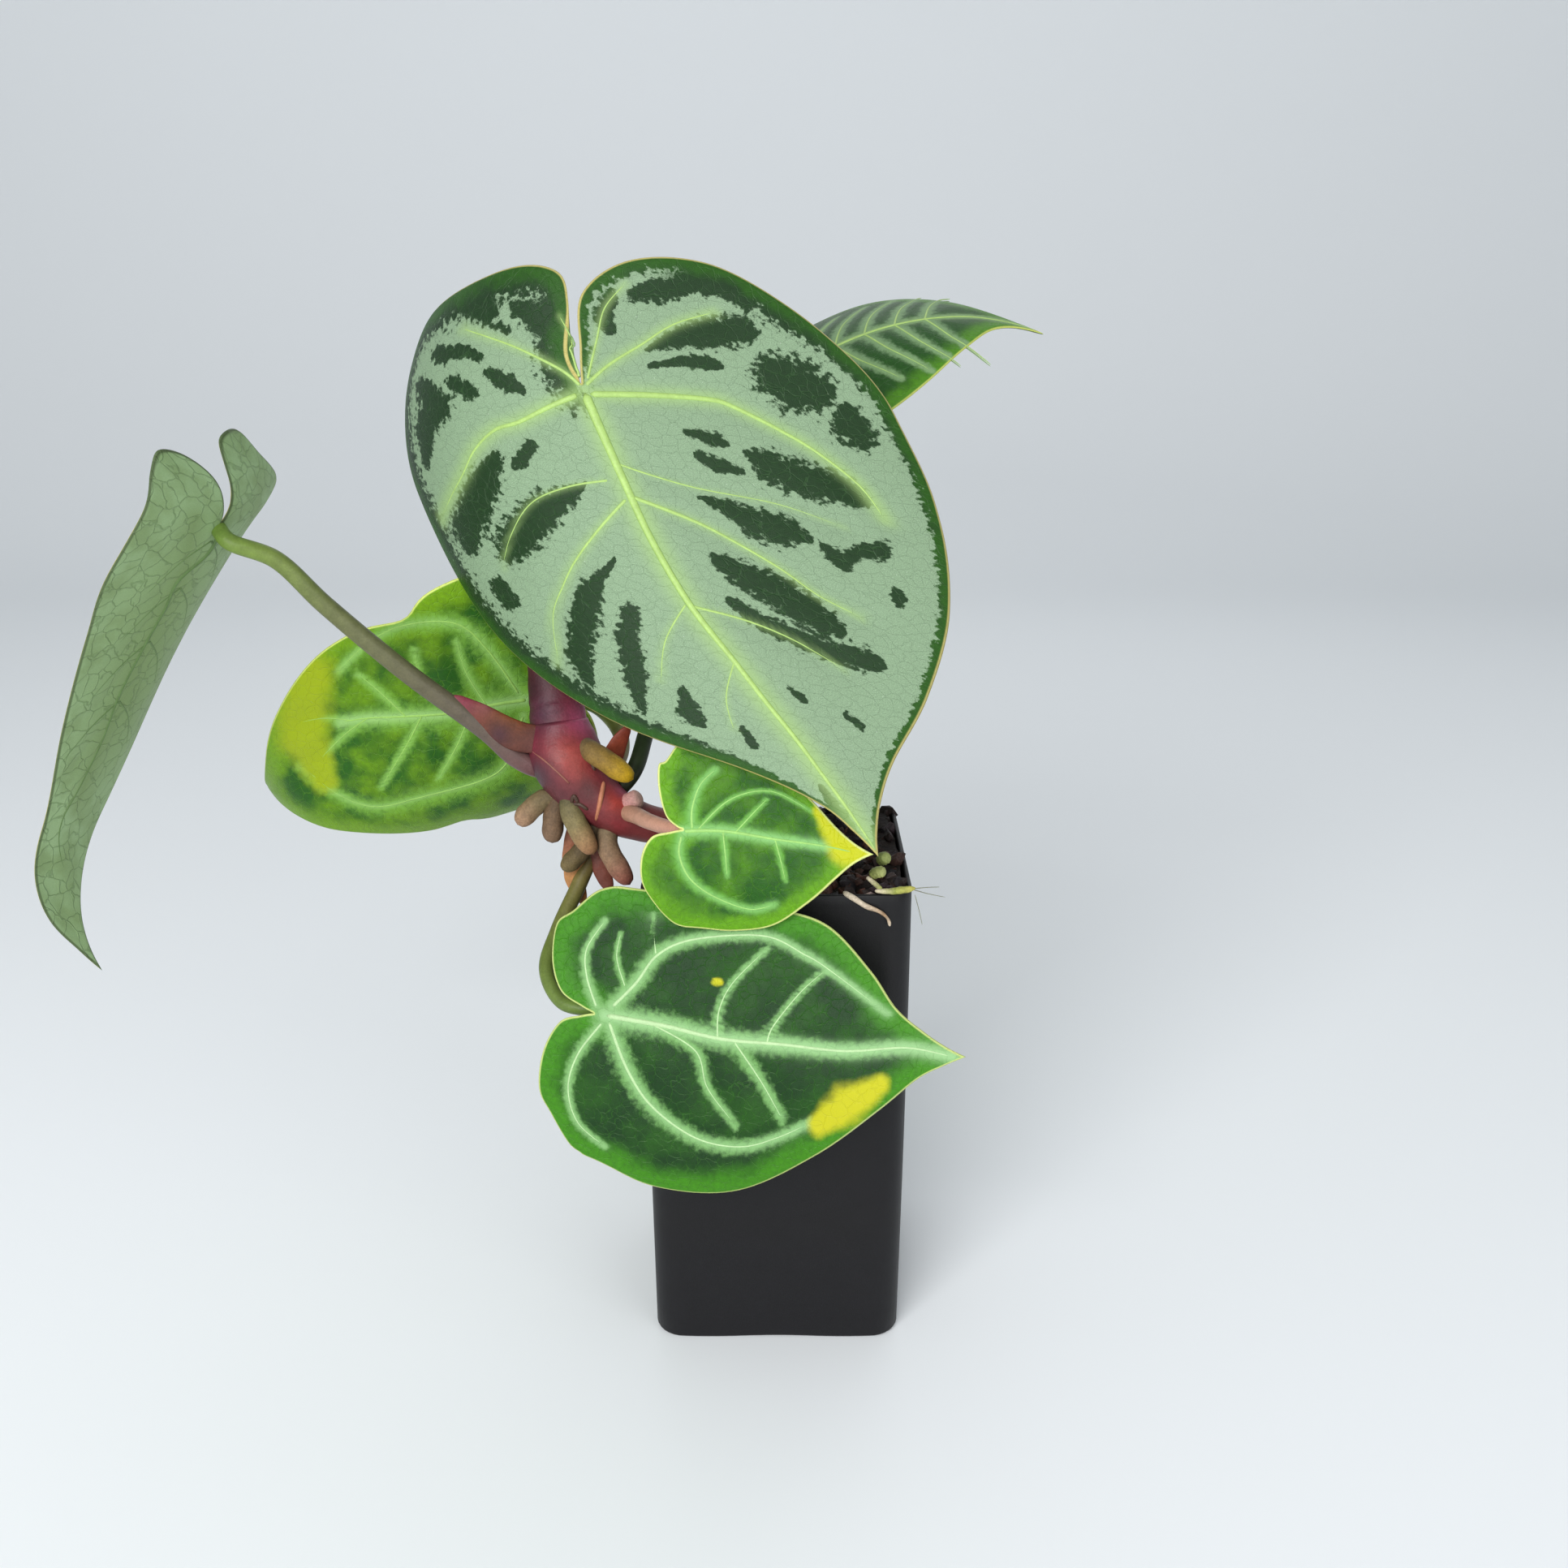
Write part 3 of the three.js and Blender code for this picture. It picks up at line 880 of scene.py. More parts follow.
@dataclass(frozen=True)
class HalfShape:
    """How one half of a leaf's outline differs from the plain heart, in half widths and lengths."""

    shoulder: float = 0.0
    belly: float = 0.0
    cheek: float = 0.0
    spread: float = 0.0
    point: float = 0.0
    rise: float = 0.0

    def outline(self, shares: np.ndarray) -> np.ndarray:
        """The half outline from the tip round the lobe to the notch at the stalk.

        Args:
            shares: places along it from 0 to 1.

        Returns:
            Rows of x in half widths, y in lengths ahead of the stalk and in lobe lengths behind it.
        """
        points = np.array([
            [0, 1], [0.04 + self.point * 0.4, 0.95], [0.11 + self.point, 0.885],
            [0.24 + self.point + self.shoulder * 0.3, 0.8],
            [0.5 + self.shoulder * 0.8, 0.66 + self.rise * 0.3],
            [0.78 + self.shoulder, 0.47 + self.rise * 0.6],
            [0.95 + self.shoulder * 0.4 + self.belly, 0.26 + self.rise * 0.9], [1, 0.06 + self.rise],
            [0.96 + self.cheek * 0.5, -0.3], [0.8 + self.cheek, -0.7], [0.55 + self.spread, -0.97],
            [0.28 + self.spread, -0.95], [0.09 + self.spread * 0.4, -0.7], [0.03, -0.3], [0, -0.06],
        ])
        return smooth_curve(points, shares)


@dataclass(frozen=True)
class Notch:
    """A small bite out of a leaf's margin.

    Side is 0 for left and 1 for right, and at is a share of the way from the tip to the stalk.
    """

    side: int
    at: float
    depth: float
    width: float


# Where the blade's grid closes, in lengths ahead of the stalk
HUB = 0.1


@dataclass(frozen=True)
class LeafShape:
    """The size and bend of one blade. Pairs are left, right, seen from above with the tip ahead.

    Heading, pitch and roll turn the blade, and droop, fold, curl and sweep bend it, all in degrees.
    """

    base: Point
    heading: float
    pitch: float
    roll: float
    length: float
    lobe: tuple[float, float]
    width: tuple[float, float]
    droop: float
    sweep: float
    fold: tuple[float, float]
    curl: tuple[float, float]
    skew: float
    tip_lift: float
    tip_side: float
    lobe_shift: tuple[float, float]
    ripple: float
    waves: int
    halves: tuple[HalfShape, HalfShape]
    notches: tuple[Notch, ...] = ()

    def axes(self) -> tuple[np.ndarray, np.ndarray, np.ndarray]:
        """The blade's directions: ahead along the midrib, across to its right, up out of its upper face.

        Returns:
            Three unit vectors.
        """
        h, p, r = (math.radians(a) for a in (self.heading, self.pitch, self.roll))
        ahead = np.array([math.cos(h) * math.cos(p), math.sin(h) * math.cos(p), -math.sin(p)])
        level = np.array([math.cos(h) * math.sin(p), math.sin(h) * math.sin(p), math.cos(p)])
        up = level * math.cos(r) + np.cross(ahead, level) * math.sin(r)
        return ahead, np.cross(ahead, up), up

    def edge(self, shares: np.ndarray) -> np.ndarray:
        """The outline on the flat leaf, from the tip down its left half and back up its right half.

        Args:
            shares: places along the whole outline from 0 to 1.

        Returns:
            Rows of x, y in millimetres.
        """
        right = shares > 0.5
        along = np.where(right, 2 - 2 * shares, 2 * shares)
        flat = np.empty((len(shares), 2))
        for side in (0, 1):
            picked = right if side else ~right
            half = self.halves[side].outline(along[picked])
            cut = np.zeros(len(half))
            for notch in self.notches:
                if notch.side == side:
                    cut += notch.depth * np.exp(-(((along[picked] - notch.at) / notch.width) ** 2))
            x = half[:, 0] * self.width[side] * (1 if side else -1)
            y = half[:, 1] * np.where(half[:, 1] > 0, self.length, self.lobe[side])
            flat[picked] = np.stack([x, y], axis=1) * (1 - cut)[:, None]
        return flat

    def surface(self, flat: np.ndarray) -> np.ndarray:
        """Points of the bent blade.

        Args:
            flat: rows of x, y on the flat leaf.

        Returns:
            Rows of x, y, z in the plant's frame.
        """
        x = flat[:, 0]
        side = (x > 0).astype(int)
        width, fold = np.array(self.width)[side], np.radians(np.array(self.fold)[side])
        curl = np.radians(np.array(self.curl)[side])
        curl = np.where(np.abs(curl) < TINY, 1e-6, curl)
        y = flat[:, 1] + self.skew * x
        bend = math.radians(self.droop) / self.length
        front = np.maximum(y, 0)
        bent = abs(bend) > TINY
        along = (np.sin(bend * front) / bend if bent else front) + np.minimum(y, 0)
        down = (1 - np.cos(bend * front)) / bend if bent else np.zeros(len(y))
        turned = fold + curl * np.abs(x) / width
        tip_from, tip_span, wave_reach = 0.7, 0.3, 1.2
        tip = np.clip((y / self.length - tip_from) / tip_span, 0, 1) ** 2
        behind = (np.minimum(y, 0) / self.lobe[0]) ** 2
        across = np.sign(x) * (np.sin(turned) - np.sin(fold)) * width / curl
        across = across + math.radians(self.sweep) * y * y / (2 * self.length)
        across = across + np.array(self.lobe_shift)[side] * behind + self.tip_side * tip
        reach = np.hypot(x / width, np.where(y > 0, y / self.length, y / self.lobe[0]))
        wave = self.ripple * np.minimum(reach, wave_reach) ** 3 * np.sin(self.waves * np.arctan2(x, y))
        lift = (np.cos(fold) - np.cos(turned)) * width / curl + self.tip_lift * tip + wave
        angle = bend * front
        a, c, u = self.axes()
        forward = (along + np.sin(angle) * lift)[:, None] * a
        upward = (np.cos(angle) * lift - down)[:, None] * u
        return np.array(self.base) + forward + upward + across[:, None] * c

    def normals(self, flat: np.ndarray) -> np.ndarray:
        """Directions out of the upper face.

        Args:
            flat: rows of x, y on the flat leaf.

        Returns:
            One unit row for each point.
        """
        reach = 0.5
        along, across = np.array([0, reach]), np.array([reach, 0])
        ahead = self.surface(flat + along) - self.surface(flat - along)
        aside = self.surface(flat + across) - self.surface(flat - across)
        return unit(np.cross(aside, ahead))

    def locate(self, pixels: np.ndarray) -> np.ndarray:
        """Points of the flat leaf that are seen at given pixels.

        Args:
            pixels: rows of pixel column and row.

        Returns:
            Rows of x, y on the flat leaf.
        """
        columns, rows, rounds = 120, 50, 4
        step, least, farthest = 0.2, 0.5, 2
        around, inward = np.meshgrid(np.linspace(0, 1, columns), np.linspace(0, 1, rows))
        edge = self.edge(around.ravel())
        hub = np.array([0, HUB * self.length])
        flat = hub + (edge - hub) * inward.reshape(-1, 1)
        seen = PHOTO.project(self.surface(flat))
        found = flat[np.argmin(np.linalg.norm(pixels[:, None] - seen[None], axis=2), axis=1)]
        for _ in range(rounds):
            here = PHOTO.project(self.surface(found))
            right = (PHOTO.project(self.surface(found + [step, 0])) - here) / step
            ahead = (PHOTO.project(self.surface(found + [0, step])) - here) / step
            miss = pixels - here
            size = right[:, 0] * ahead[:, 1] - right[:, 1] * ahead[:, 0]
            size = np.where(np.abs(size) < least, least * np.sign(size + TINY), size)
            dx = (miss[:, 0] * ahead[:, 1] - miss[:, 1] * ahead[:, 0]) / size
            dy = (right[:, 0] * miss[:, 1] - right[:, 1] * miss[:, 0]) / size
            found = found + np.clip(np.stack([dx, dy], axis=1), -farthest, farthest)
        return found


@dataclass(frozen=True)
class Vein:
    """A raised vein and the pale band along it.

    Ridge is its half width in millimetres at the start and the end. Band is the half width of the pale
    tissue, in pixels for a vein traced on the photo and in millimetres otherwise.
    """

    line: tuple[Point, ...]
    ridge: tuple[float, float] = (0.5, 0.2)
    band: tuple[float, float] = (0.0, 0.0)
    space: Space = Space.PHOTO


@dataclass(frozen=True)
class Patch:
    """A patch of tissue: x, y and half width along a stroke."""

    line: tuple[Point, ...]
    space: Space = Space.PHOTO


@dataclass(frozen=True)
class LeafLook:
    """What is drawn on a blade.

    A row of silver_edge is a share of the way from the tip to the stalk and the width in millimetres of the
    green rim there, on the left and on the right.
    """

    veins: tuple[Vein, ...]
    islands: tuple[Patch, ...] = ()
    warm: tuple[Patch, ...] = ()
    shade: tuple[Patch, ...] = ()
    silver_edge: tuple[tuple[float, float, float], ...] = ()
    vein_colour: Colour = (154, 184, 104)
    under_vein_colour: Colour = (120, 150, 90)
    quilt: float = 0.5


@dataclass(frozen=True)
class Leaf:
    """One leaf: its blade with both faces, and its raised veins."""

    name: str
    shape: LeafShape
    look: LeafLook
    upper: LeafFinish
    lower: UndersideFinish
    slot: str
    around: int = 300
    rings: int = 44
    half_thickness: float = 0.45

    def flat_line(self, line: Sequence[Point], space: Space) -> np.ndarray:
        """A traced line on the flat leaf.

        Args:
            line: its points.
            space: where they are given.

        Returns:
            Rows of x, y in millimetres.
        """
        points = np.array([p[:2] for p in line], float)
        if space is Space.PHOTO:
            return self.shape.locate(points)
        side = (points[:, 0] > 0).astype(int)
        x = points[:, 0] * np.array(self.shape.width)[side]
        lobe = np.array(self.shape.lobe)[side]
        y = points[:, 1] * np.where(points[:, 1] > 0, self.shape.length, lobe)
        return np.stack([x, y], axis=1)

    def patch_field(self, flat: np.ndarray, pixels: np.ndarray, patches: Sequence[Patch]) -> np.ndarray:
        """How deep points lie inside a set of patches.

        Args:
            flat: the points on the flat leaf.
            pixels: where they are seen.
            patches: the patches.

        Returns:
            1 in the middle of a patch, 0 at its edge, less outside.
        """
        best = np.full(len(flat), OUTSIDE)
        for patch in patches:
            line = np.array(patch.line, float)
            if patch.space is Space.FLAT:
                line[:, :2] = self.flat_line(patch.line, patch.space)
            where = pixels if patch.space is Space.PHOTO else flat
            best = np.maximum(best, stroke_field(where, line))
        return best

    def pale_field(
        self, flat: np.ndarray, pixels: np.ndarray, shares: np.ndarray, rim: np.ndarray
    ) -> np.ndarray:
        """Where the pale or silver tissue lies.

        Args:
            flat: points on the flat leaf.
            pixels: where they are seen.
            shares: where on the outline each point's ray ends.
            rim: distance of each point from the margin.

        Returns:
            Above 0 on pale tissue.
        """
        if self.look.silver_edge:
            limit = 1.5
            table = np.array(self.look.silver_edge)
            along = np.where(shares > 0.5, 2 - 2 * shares, 2 * shares)
            left, right = (np.interp(along, table[:, 0], table[:, k]) for k in (1, 2))
            return np.clip(rim / np.where(shares > 0.5, right, left) - 1, -limit, limit)
        steps = np.linspace(0, 1, 24)
        best = np.full(len(flat), OUTSIDE)
        for vein in self.look.veins:
            if vein.band[0] <= 0:
                continue
            traced = vein.space is Space.PHOTO
            line = np.array(vein.line, float) if traced else self.flat_line(vein.line, vein.space)
            widths = np.linspace(*vein.band, len(steps))[:, None]
            stroke = np.hstack([smooth_curve(line, steps), widths])
            best = np.maximum(best, stroke_field(pixels if traced else flat, stroke))
        return best

    def glow_field(self, flat: np.ndarray, lines: Sequence[np.ndarray]) -> np.ndarray:
        """Where the blade is tinted by the veins.

        Args:
            flat: points on the flat leaf.
            lines: the veins on the flat leaf.

        Returns:
            Up to 1 on the thickest veins.
        """
        spread, full = 2.6, 0.7
        best = np.zeros(len(flat))
        for vein, line in zip(self.look.veins, lines):
            reach = vein.ridge[0] * spread
            glow = min(full, vein.ridge[0]) * np.exp(-((line_distance(flat, line) / reach) ** 2))
            best = np.maximum(best, glow)
        return best

    def density_field(self, near: np.ndarray, pale: np.ndarray, flat: np.ndarray) -> np.ndarray:
        """How densely silver flecks lie: densest along the veins, at the silver's edge and towards the tip.

        Args:
            near: distance of each point from the nearest vein.
            pale: the pale field.
            flat: points on the flat leaf.

        Returns:
            From about 0.3 to 1.
        """
        plain, least = 0.78, 0.36
        vein_reach, edge_reach = 4, 0.7
        tip_from, tip_span = 0.25, 0.6
        if not self.look.silver_edge:
            return np.full(len(near), plain)
        veins = 0.2 * np.exp(-((near / vein_reach) ** 2))
        edges = 0.25 * np.exp(-((pale / edge_reach) ** 2))
        tip = 0.35 * np.clip(flat[:, 1] / self.shape.length - tip_from, 0, tip_span)
        return least + veins + edges + tip

    def vein_lines(self) -> list[np.ndarray]:
        """The veins as smooth lines on the flat leaf.

        Returns:
            One array of rows of x, y for each vein.
        """
        lines = [self.flat_line(vein.line, vein.space) for vein in self.look.veins]
        return [smooth_curve(line, np.linspace(0, 1, 28)) for line in lines]

    def margin_distance(self, flat: np.ndarray) -> np.ndarray:
        """Distance of points from the blade's margin.

        Args:
            flat: points on the flat leaf.

        Returns:
            Distances in millimetres.
        """
        steps = 220
        return line_distance(flat, self.shape.edge(np.linspace(0, 1, steps)))

    def relief(self, near: np.ndarray, rim: np.ndarray) -> np.ndarray:
        """Height of the quilted blade: low along the veins, swelling between them, level at the margin.

        Args:
            near: distance of each point from the nearest vein.
            rim: distance of each point from the margin.

        Returns:
            Heights in millimetres.
        """
        swell, level = 5.0, 6.0
        quilt = self.look.quilt * (0.5 - np.exp(-((near / swell) ** 2)))
        return quilt * np.clip(rim / level, 0, 1)

    def build(self) -> list[bpy.types.Object]:
        """Builds the blade and its veins.

        Returns:
            The pieces.
        """
        lines = self.vein_lines()
        return [self.build_blade(lines), self.build_veins(lines)]

    def build_blade(self, lines: Sequence[np.ndarray]) -> bpy.types.Object:
        """Builds the blade as one closed skin, folded round the margin, with its fields stored on it.

        Args:
            lines: the veins on the flat leaf.

        Returns:
            The blade.
        """
        bm = bmesh.new()
        bmesh.ops.create_grid(bm, x_segments=self.around, y_segments=2 * self.rings, size=1.0)
        sheet = np.array([v.co for v in bm.verts], float)
        shares, height = (sheet[:, 0] + 1) / 2, sheet[:, 1]
        crowding = 1.3
        inward = 1 - np.abs(height) ** crowding
        hub = np.array([0, HUB * self.shape.length])
        flat = hub + (self.shape.edge(shares) - hub) * inward[:, None]
        rim = self.margin_distance(flat)
        near = nearest_distance(flat, lines)
        middle = self.shape.surface(flat)
        pixels = PHOTO.project(middle)
        side = np.sign(height)
        round_in = 1.2
        inset = 1 - np.clip(rim / round_in, 0, 1)
        skin = self.half_thickness * np.sqrt(np.clip(1 - inset**2, 0, 1))
        swell = self.relief(near, rim)
        placed = (middle + self.shape.normals(flat) * (side * skin + swell)[:, None]) * MM
        fields = {
            "rim": rim,
            "pale": self.pale_field(flat, pixels, shares, rim),
            "dark": self.patch_field(flat, pixels, self.look.islands),
            "warm": self.patch_field(flat, pixels, self.look.warm),
            "shade": self.patch_field(flat, pixels, self.look.shade),
            "glow": self.glow_field(flat, lines),
        }
        fields["density"] = self.density_field(near, fields["pale"], flat)
        layers = {name: bm.verts.layers.float.new(name) for name in fields}
        flat_layer = bm.verts.layers.float_vector.new("flat")
        for index, vertex in enumerate(bm.verts):
            vertex.co = placed[index]
            vertex[flat_layer] = (flat[index, 0], flat[index, 1], 0.0)
            for name, layer in layers.items():
                vertex[layer] = fields[name][index]
        bm.verts.index_update()
        for polygon in bm.faces:
            polygon.material_index = 0 if sum(side[v.index] for v in polygon.verts) > 0 else 1
        bmesh.ops.remove_doubles(bm, verts=bm.verts, dist=1e-6)
        finishes = [self.upper, self.lower]
        return place_piece(f"blade_{self.name}", bm, finishes, [f"leaf_{self.name}"])

    def build_veins(self, lines: Sequence[np.ndarray]) -> bpy.types.Object:
        """Builds the raised veins on both faces.

        Args:
            lines: the veins on the flat leaf.

        Returns:
            The veins as one piece.
        """
        bm = bmesh.new()
        sunk = 0.12
        colours = {Face.UPPER: self.look.vein_colour, Face.LOWER: self.look.under_vein_colour}
        for face, colour in colours.items():
            for vein, line in zip(self.look.veins, lines):
                swell = self.relief(nearest_distance(line, lines), self.margin_distance(line))
                normal = self.shape.normals(line)
                height = face.value * (self.half_thickness - sunk) + swell
                points = self.shape.surface(line) + normal * height[:, None]
                half = np.linspace(*vein.ridge, len(line))
                sizes = np.stack([half, 0.1 + half * 0.55, np.zeros(len(line))], axis=1)
                ends = Strand((), (colour,), sides=8, rings=48, start_cap=0.02, end_cap=0.15)
                bend_ball(bm, points, sizes, normal, ends)
        return place_piece(f"veins_{self.name}", bm, [VEIN])


SILVER = LeafFinish(
    name="silver_tissue", cell=(24, 50, 22), rim=(34, 76, 14), pale=(244, 250, 242), margin=(176, 166, 100),
    warm=(150, 160, 60), rim_depth=4.0, ground=(124, 148, 118), ragged=2.6, grain=1.5, net=0.16,
    net_colour=(70, 110, 60), pale_roughness=0.55, roughness=0.4, glow=(146, 176, 108), flecks=(0.64, 0.98),
)
STRIPED = LeafFinish(
    name="striped_tissue", cell=(30, 72, 20), rim=(70, 122, 24), pale=(176, 196, 168), margin=(170, 180, 90),
    warm=(120, 90, 50), rim_depth=5.0, ground=(110, 142, 100), ragged=2.2, soft=0.6, grain=0.9, net=0.16,
    net_colour=(70, 110, 60), glow=(128, 160, 100),
)
DARK = LeafFinish(
    name="dark_tissue", cell=(12, 50, 10), rim=(54, 118, 10), pale=(170, 200, 166), margin=(186, 200, 120),
    warm=(178, 176, 24), rim_depth=7.0, ground=(104, 152, 84), ragged=2.4, soft=0.7, grain=0.6, net=0.22,
    net_colour=(60, 118, 30), glow=(150, 190, 136), roughness=0.36, patchy=0.2,
)
YOUNG = LeafFinish(
    name="young_tissue", cell=(28, 80, 4), rim=(100, 142, 4), pale=(146, 192, 104), margin=(196, 210, 110),
    warm=(140, 158, 6), rim_depth=7.0, ground=(110, 160, 56), ragged=2.4, soft=1.1, grain=0.4, net=0.22,
    net_colour=(104, 156, 30), glow=(150, 190, 120), roughness=0.36, patchy=0.75,
)
SMALL_YOUNG = LeafFinish(
    name="small_young_tissue", cell=(24, 76, 4), rim=(84, 138, 4), pale=(140, 190, 110),
    margin=(206, 214, 130), warm=(176, 180, 16), rim_depth=4.0, ground=(86, 146, 44), ragged=2.0,
    soft=0.8, grain=0.4, net=0.2,
    net_colour=(92, 148, 30), glow=(142, 192, 128), roughness=0.36, patchy=0.5,
)
UNDER_SILVER = UndersideFinish("under_silver", (146, 174, 126), (104, 126, 66), (88, 116, 66), (70, 88, 50))
UNDER_YOUNG = UndersideFinish("under_young", (128, 162, 76), (106, 142, 52), (96, 132, 50), (140, 156, 60))

FRONT_SHAPE = LeafShape(
    base=(-48.4, -13.3, 267.4), heading=-41, pitch=64.4, roll=36, length=135.4, lobe=(38, 32),
    width=(74.8, 71.7), droop=-13, sweep=-32, fold=(2, -16), curl=(-7.7, -60.7), skew=-0.344,
    tip_lift=-2.7, tip_side=7.9,
    lobe_shift=(0.5, -9), ripple=0.5, waves=7,
    halves=(
        HalfShape(shoulder=-0.03, cheek=-0.02),
        HalfShape(shoulder=0.06, belly=-0.02, cheek=0.02, spread=-0.2, point=-0.03),
    ),
)
BACK_RIGHT_SHAPE = LeafShape(
    base=(8, 65.9, 271.5), heading=0.3, pitch=-32.1, roll=21.4, length=72.8, lobe=(24, 24),
    width=(37.8, 37.6), droop=46.9, sweep=5.4, fold=(2.6, -0.4), curl=(-23.1, -35.7), skew=-0.05,
    tip_lift=1.1, tip_side=10.5,
    lobe_shift=(0, 0), ripple=0.3, waves=6,
    halves=(HalfShape(shoulder=0.01, point=-0.01), HalfShape(shoulder=-0.01, point=-0.01)),
)
LEFT_SHAPE = LeafShape(
    base=(-142.7, -19.5, 234.2), heading=168.6, pitch=48, roll=15.7, length=134.5, lobe=(23.4, 28),
    width=(29, 36.5), droop=36.6, sweep=-13.2, fold=(-9.3, 7.8), curl=(6.4, 40.8), skew=0, tip_lift=-13.4,
    tip_side=14.6, lobe_shift=(-22.4, -18.5), ripple=0.3, waves=6,
    halves=(
        HalfShape(shoulder=-0.22, belly=-0.06, cheek=0.02, spread=-0.03, point=0.12),
        HalfShape(shoulder=0.08, cheek=-0.23, spread=-0.08, point=0.04),
    ),
)
BACK_LEFT_SHAPE = LeafShape(
    base=(-72.2, 22, 176.7), heading=190, pitch=13.2, roll=-86, length=112.2, lobe=(17, 17), width=(45, 45),
    droop=46, sweep=-17, fold=(-9.5, 19), curl=(-52, 0), skew=-0.06, tip_lift=-14, tip_side=7.4,
    lobe_shift=(0, 0), ripple=0.8, waves=6,
    halves=(
        HalfShape(shoulder=0.02, belly=0.01, spread=-0.1),
        HalfShape(shoulder=0.01, belly=-0.06, cheek=-0.01, spread=-0.1, point=-0.04),
    ),
    notches=(
        Notch(side=1, at=18 / 42, depth=0.07, width=0.02),
        Notch(side=0, at=17 / 42, depth=0.07, width=0.02),
    ),
)
CENTRE_SHAPE = LeafShape(
    base=(-23.6, -40, 159.6), heading=-8, pitch=-2, roll=72, length=49.1, lobe=(7, 12), width=(23.3, 26.2),
    droop=0, sweep=16, fold=(5, -1), curl=(-7, -18), skew=0, tip_lift=1.9, tip_side=-1.3,
    lobe_shift=(-0.8, -0.8), ripple=0.3, waves=5,
    halves=(
        HalfShape(cheek=-0.05, spread=0.13),
        HalfShape(shoulder=0.11, belly=0.01, cheek=-0.01, spread=0.05, point=0.03),
    ),
)
LOW_SHAPE = LeafShape(
    base=(-47.6, -43.3, 108.8), heading=-12, pitch=6.5, roll=74, length=97.5, lobe=(15.5, 14.3),
    width=(35.6, 42.3), droop=0, sweep=-9, fold=(0, -6), curl=(0, -12), skew=0, tip_lift=0.7,
    tip_side=-0.8, lobe_shift=(-0.9, -0.2), ripple=0.4, waves=6,
    halves=(
        HalfShape(shoulder=0.13, belly=-0.01, cheek=-0.08, spread=0.03, point=0.06, rise=0.185),
        HalfShape(shoulder=0.28, belly=0.06, cheek=-0.05, spread=0.04, point=0.04, rise=-0.05),
    ),
)

